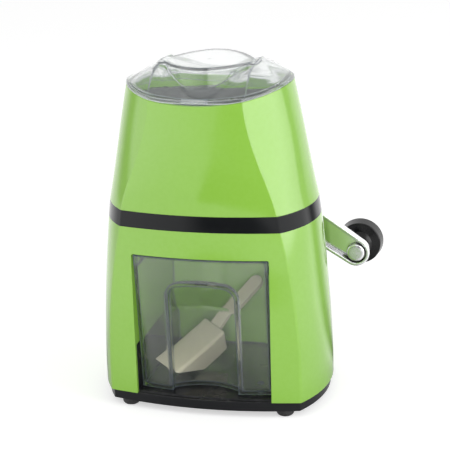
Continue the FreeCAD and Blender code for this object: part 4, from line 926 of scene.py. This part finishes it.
@dataclass
class Studio:
    """A white floor, a pale room and soft lamps."""

    floor_half: float = 6.0
    floor_colour: float = 0.8
    floor_lift: float = 0.5
    room: float = 0.56
    lamps: tuple[Lamp, ...] = (
        Lamp("right_lamp", 78.0, 24.0, 1.8, 1.2, 10.5),
        Lamp("left_lamp", -38.0, 42.0, 1.8, 1.0, 2.5),
        Lamp("front_lamp", 8.0, 14.0, 1.8, 0.5, 9.0),
    )
    # what gloss shows of the room, by the way it looks round from the front: a soft panel to the left, a
    # strong one to the right, narrow gaps beside them and the pale wall behind
    panels: tuple[Pair, ...] = (
        (-180.0, 1.4), (-124.0, 1.35), (-118.0, 1.1), (-108.0, 0.5), (-99.0, 0.5), (-88.0, 2.2),
        (-50.0, 2.7), (-20.0, 1.8), (-5.0, 1.3), (18.0, 1.3), (28.0, 3.8), (44.0, 5.4), (92.0, 5.4),
        (109.0, 3.6), (116.0, 2.7), (119.0, 0.9), (128.0, 0.7), (133.0, 1.3), (143.0, 1.7), (180.0, 1.4))
    # the same for the floor round the object
    floor_panels: tuple[Pair, ...] = (
        (-180.0, 1.4), (-118.0, 1.4), (-104.0, 1.0), (-90.0, 1.6), (-62.0, 2.2), (-43.0, 2.1), (-20.0, 1.6),
        (3.0, 1.35), (20.0, 1.5), (50.0, 2.0), (88.0, 2.0), (109.0, 1.9), (119.0, 2.3), (125.5, 1.0),
        (129.0, 0.3), (134.0, 0.4), (145.0, 1.4), (180.0, 1.5))
    panel_top: float = 6.0
    # painted shade close to the object: how much of it is left there, by the distance from its middle
    near_shade: tuple[Pair, ...] = (
        (0.06, 0.18), (0.10, 0.3), (0.13, 0.55), (0.3, 0.9), (0.5, 1.0))
    near_span: float = 2.0
    # distances, in metres: where the floor gives way to the room, and what stands for the room itself
    far_start: float = 0.85
    far_end: float = 1.4
    room_reach: float = 2.2
    # the dark opening between the panels, in front of the object: its left edge turns with the distance
    opening_edge: float = -10.0
    opening_turn: float = 14.0
    opening_end: float = 20.0
    opening_level: float = 0.03
    opening_reach: float = 0.9         # where the left edge stands at its own angle
    opening_start: Pair = (0.62, 0.72)
    opening_soft: Pair = (1.5, 5.0)    # how soft its left and its right edge are, in degrees
    # the painted dark patch on the floor that the band shows in its gloss: its two sides in degrees, its
    # two ends in metres
    patch_left: Pair = (-22.0, -8.0)
    patch_right: Pair = (10.0, 24.0)
    patch_near: Pair = (0.29, 0.32)
    patch_far: Pair = (0.4, 0.46)
    # how high the ceiling begins to show, as the sine of the elevation
    ceiling: Pair = (0.5, 0.8)

    def ramp(self, g: Graph, value: Socket, stops: Sequence[Pair],
             low: float, high: float) -> Socket:
        """Adds a curve through given stops.

        Args:
            g: the graph.
            value: where on the curve to read.
            stops: pairs of place and level.
            low: the place of the curve's start.
            high: the place of its end.

        Returns:
            The level there.
        """
        node = g.add("ShaderNodeValToRGB")
        line = node.color_ramp
        while len(line.elements) > 1:
            line.elements.remove(line.elements[-1])
        for number, (place, level) in enumerate(stops):
            share = (place - low) / (high - low)
            stop = line.elements[0] if number == 0 else line.elements.new(share)
            stop.position = share
            stop.color = (level / self.panel_top,) * 3 + (1.0,)
        g.feed(node.inputs[0], g.math("DIVIDE", g.math("SUBTRACT", value, low), high - low))
        return g.math("MULTIPLY", node.outputs[0], self.panel_top)

    def build_panels(self) -> bpy.types.NodeTree:
        """Makes the group that says how bright gloss sees the room, one way round and at one distance."""
        tree = bpy.data.node_groups.new("studio_panels", "ShaderNodeTree")
        tree.interface.new_socket(name="Way", in_out="INPUT", socket_type="NodeSocketVector")
        tree.interface.new_socket(name="Reach", in_out="INPUT", socket_type="NodeSocketFloat")
        tree.interface.new_socket(name="Colour", in_out="OUTPUT", socket_type="NodeSocketColor")
        g = Graph(tree)
        source, sink = g.add("NodeGroupInput"), g.add("NodeGroupOutput")
        split = g.add("ShaderNodeSeparateXYZ")
        g.feed(split.inputs[0], source.outputs["Way"])
        turn = g.math("ARCTAN2", split.outputs["X"], g.math("MULTIPLY", split.outputs["Y"], -1.0))
        turn = g.math("MULTIPLY", turn, 180.0 / math.pi)
        reach = source.outputs["Reach"]
        near = g.math("MULTIPLY", self.ramp(g, turn, self.floor_panels, -180.0, 180.0),
                      self.ramp(g, reach, self.near_shade, 0.0, self.near_span))
        far = g.span(reach, self.far_start, self.far_end)
        shown = g.math("ADD", g.math("MULTIPLY", near, g.math("SUBTRACT", 1.0, far)),
                       g.math("MULTIPLY", self.ramp(g, turn, self.panels, -180.0, 180.0), far))
        turned = g.math("MULTIPLY", g.math("SUBTRACT", reach, self.opening_reach), self.opening_turn)
        edge = g.math("ADD", turned, self.opening_edge)
        left_soft, right_soft = self.opening_soft
        past = g.span(g.math("SUBTRACT", turn, edge), -left_soft, left_soft)
        right = g.span(turn, self.opening_end, self.opening_end + right_soft, 1.0, 0.0)
        past = g.math("MULTIPLY", past, right)
        past = g.math("MULTIPLY", past, g.span(reach, *self.opening_start))
        patch = g.span(turn, *self.patch_left)
        patch = g.math("MULTIPLY", patch, g.span(turn, *self.patch_right, 1.0, 0.0))
        patch = g.math("MULTIPLY", patch, g.span(reach, *self.patch_near))
        patch = g.math("MULTIPLY", patch, g.span(reach, *self.patch_far, 1.0, 0.0))
        past = g.math("MAXIMUM", past, patch)
        level = g.math("MULTIPLY", shown, g.math("SUBTRACT", 1.0, past))
        level = g.math("ADD", level, g.math("MULTIPLY", past, self.opening_level))
        g.feed(sink.inputs["Colour"], level)
        return tree

    def build_floor(self, panels: bpy.types.NodeTree) -> None:
        """Adds the floor: plain and white, with the object's soft shadow on it; to gloss it glows with the
        panels, with painted shade close to the object.

        Args:
            panels: how bright gloss sees the floor.
        """
        shape = bmesh.new()
        corners = [shape.verts.new((x * self.floor_half, y * self.floor_half, 0.0))
                   for x, y in ((-1, -1), (1, -1), (1, 1), (-1, 1))]
        shape.faces.new(corners)
        mesh = bpy.data.meshes.new("studio_floor")
        shape.to_mesh(mesh)
        shape.free()
        material = bpy.data.materials.new("studio_floor")
        g = emptied(material)
        matt = g.add("ShaderNodeBsdfDiffuse")
        matt.inputs[0].default_value = (self.floor_colour,) * 3 + (1.0,)
        path = g.add("ShaderNodeLightPath")
        seen = g.math("MAXIMUM", path.outputs["Is Camera Ray"], path.outputs["Is Transmission Ray"])
        glow = g.add("ShaderNodeEmission")
        g.feed(glow.inputs["Strength"], g.math("MULTIPLY", seen, self.floor_lift))
        both = g.add("ShaderNodeAddShader")
        g.feed(both.inputs[0], matt.outputs[0])
        g.feed(both.inputs[1], glow.outputs[0])
        place = g.own()
        far = g.math("MINIMUM", g.vector("LENGTH", place).outputs["Value"], self.room_reach)
        gloss = g.add("ShaderNodeEmission")
        g.feed(gloss.inputs["Color"], g.place(panels, Way=place, Reach=far)["Colour"])
        shown = g.mix(path.outputs["Is Glossy Ray"], both.outputs[0], gloss.outputs[0])
        g.feed(g.add("ShaderNodeOutputMaterial").inputs["Surface"], shown)
        mesh.materials.append(material)
        floor = bpy.data.objects.new("studio_floor", mesh)
        bpy.context.scene.collection.objects.link(floor)
        LOG.info("floor laid")

    def build_room(self, panels: bpy.types.NodeTree) -> None:
        """Makes the world: a plain level for light, white behind, and the panels that gloss shows.

        Args:
            panels: how bright gloss sees the room.
        """
        world = bpy.data.worlds.new("studio_room")
        bpy.context.scene.world = world
        g = emptied(world)
        way = g.add("ShaderNodeTexCoord").outputs["Generated"]
        split = g.add("ShaderNodeSeparateXYZ")
        g.feed(split.inputs[0], way)
        high = g.span(split.outputs["Z"], *self.ceiling)
        gloss = g.blend(high, g.place(panels, Way=way, Reach=self.room_reach)["Colour"], (1.0, 1.0, 1.0))
        path = g.add("ShaderNodeLightPath")
        plain = g.add("ShaderNodeBackground")
        plain.inputs[0].default_value = (1.0, 1.0, 1.0, 1.0)
        plain.inputs[1].default_value = self.room
        seen = g.math("MAXIMUM", path.outputs["Is Camera Ray"], path.outputs["Is Transmission Ray"])
        shown = g.add("ShaderNodeBackground")
        g.feed(shown.inputs[0], g.blend(seen, gloss, (1.0, 1.0, 1.0)))
        either = g.math("MAXIMUM", seen, path.outputs["Is Glossy Ray"])
        g.feed(g.add("ShaderNodeOutputWorld").inputs["Surface"],
               g.mix(either, plain.outputs[0], shown.outputs[0]))
        LOG.info("room lit")

    def build(self, target: Vector) -> None:
        """Sets up floor, room, lamps and colour handling; the lamps look at the target."""
        panels = self.build_panels()
        self.build_floor(panels)
        self.build_room(panels)
        for lamp in self.lamps:
            lamp.make(target)
        bpy.context.scene.view_settings.view_transform = "Standard"


@dataclass(frozen=True)
class Viewpoint:
    """Where the camera stands: angles in degrees, lengths in metres, the lens in millimetres."""

    azimuth: float = 14.299
    elevation: float = 18.615
    roll: float = 2.055
    distance: float = 0.98006
    target: Rgb = (0.0, 0.0, 0.125)
    lens: float = 110.3
    shift_x: float = 0.0214
    shift_y: float = -0.0041

    def make(self) -> bpy.types.Object:
        """Adds the camera and makes it the scene's."""
        a, e, r = (math.radians(v) for v in (self.azimuth, self.elevation, self.roll))
        back = outwards(a, e)
        right = Vector((math.cos(a), math.sin(a), 0.0))
        up = back.cross(right)
        across = right * math.cos(r) - up * math.sin(r)
        rise = right * math.sin(r) + up * math.cos(r)
        turn = Matrix((across, rise, back)).transposed()
        data = bpy.data.cameras.new("camera")
        data.sensor_width, data.lens = 36.0, self.lens
        data.shift_x, data.shift_y = self.shift_x, self.shift_y
        data.clip_start, data.clip_end = 0.05, 40.0
        camera = bpy.data.objects.new("camera", data)
        stand = Vector(self.target) + back * self.distance
        camera.matrix_world = Matrix.Translation(stand) @ turn.to_4x4()
        bpy.context.scene.collection.objects.link(camera)
        bpy.context.scene.camera = camera
        LOG.info("camera set")
        return camera


def corners(box: tuple[Vector, Vector]) -> list[list[float]]:
    """A box's two corners as plain lists."""
    return [list(box[0]), list(box[1])]


def main() -> None:
    """Loads the frame, builds and dresses each sub-assembly, and sets up the studio and the camera."""
    logging.basicConfig(level=logging.INFO, format="%(name)s: %(message)s")
    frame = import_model()
    bench = Bench(frame["nodes"])
    bench.mix_finishes()
    groups: tuple[Subassembly, ...] = (
        BaseUnit(), Housing(), Hopper(), Crusher(), Crank(), Knob(), Drawer(), Scoop(), Lid())
    for group in groups:
        group.dress(bench)
        group.build(bench)
        LOG.info("%s done", group.title)
    view = Viewpoint()
    view.make()
    Studio().build(Vector(view.target))


if __name__ == "__main__":
    main()
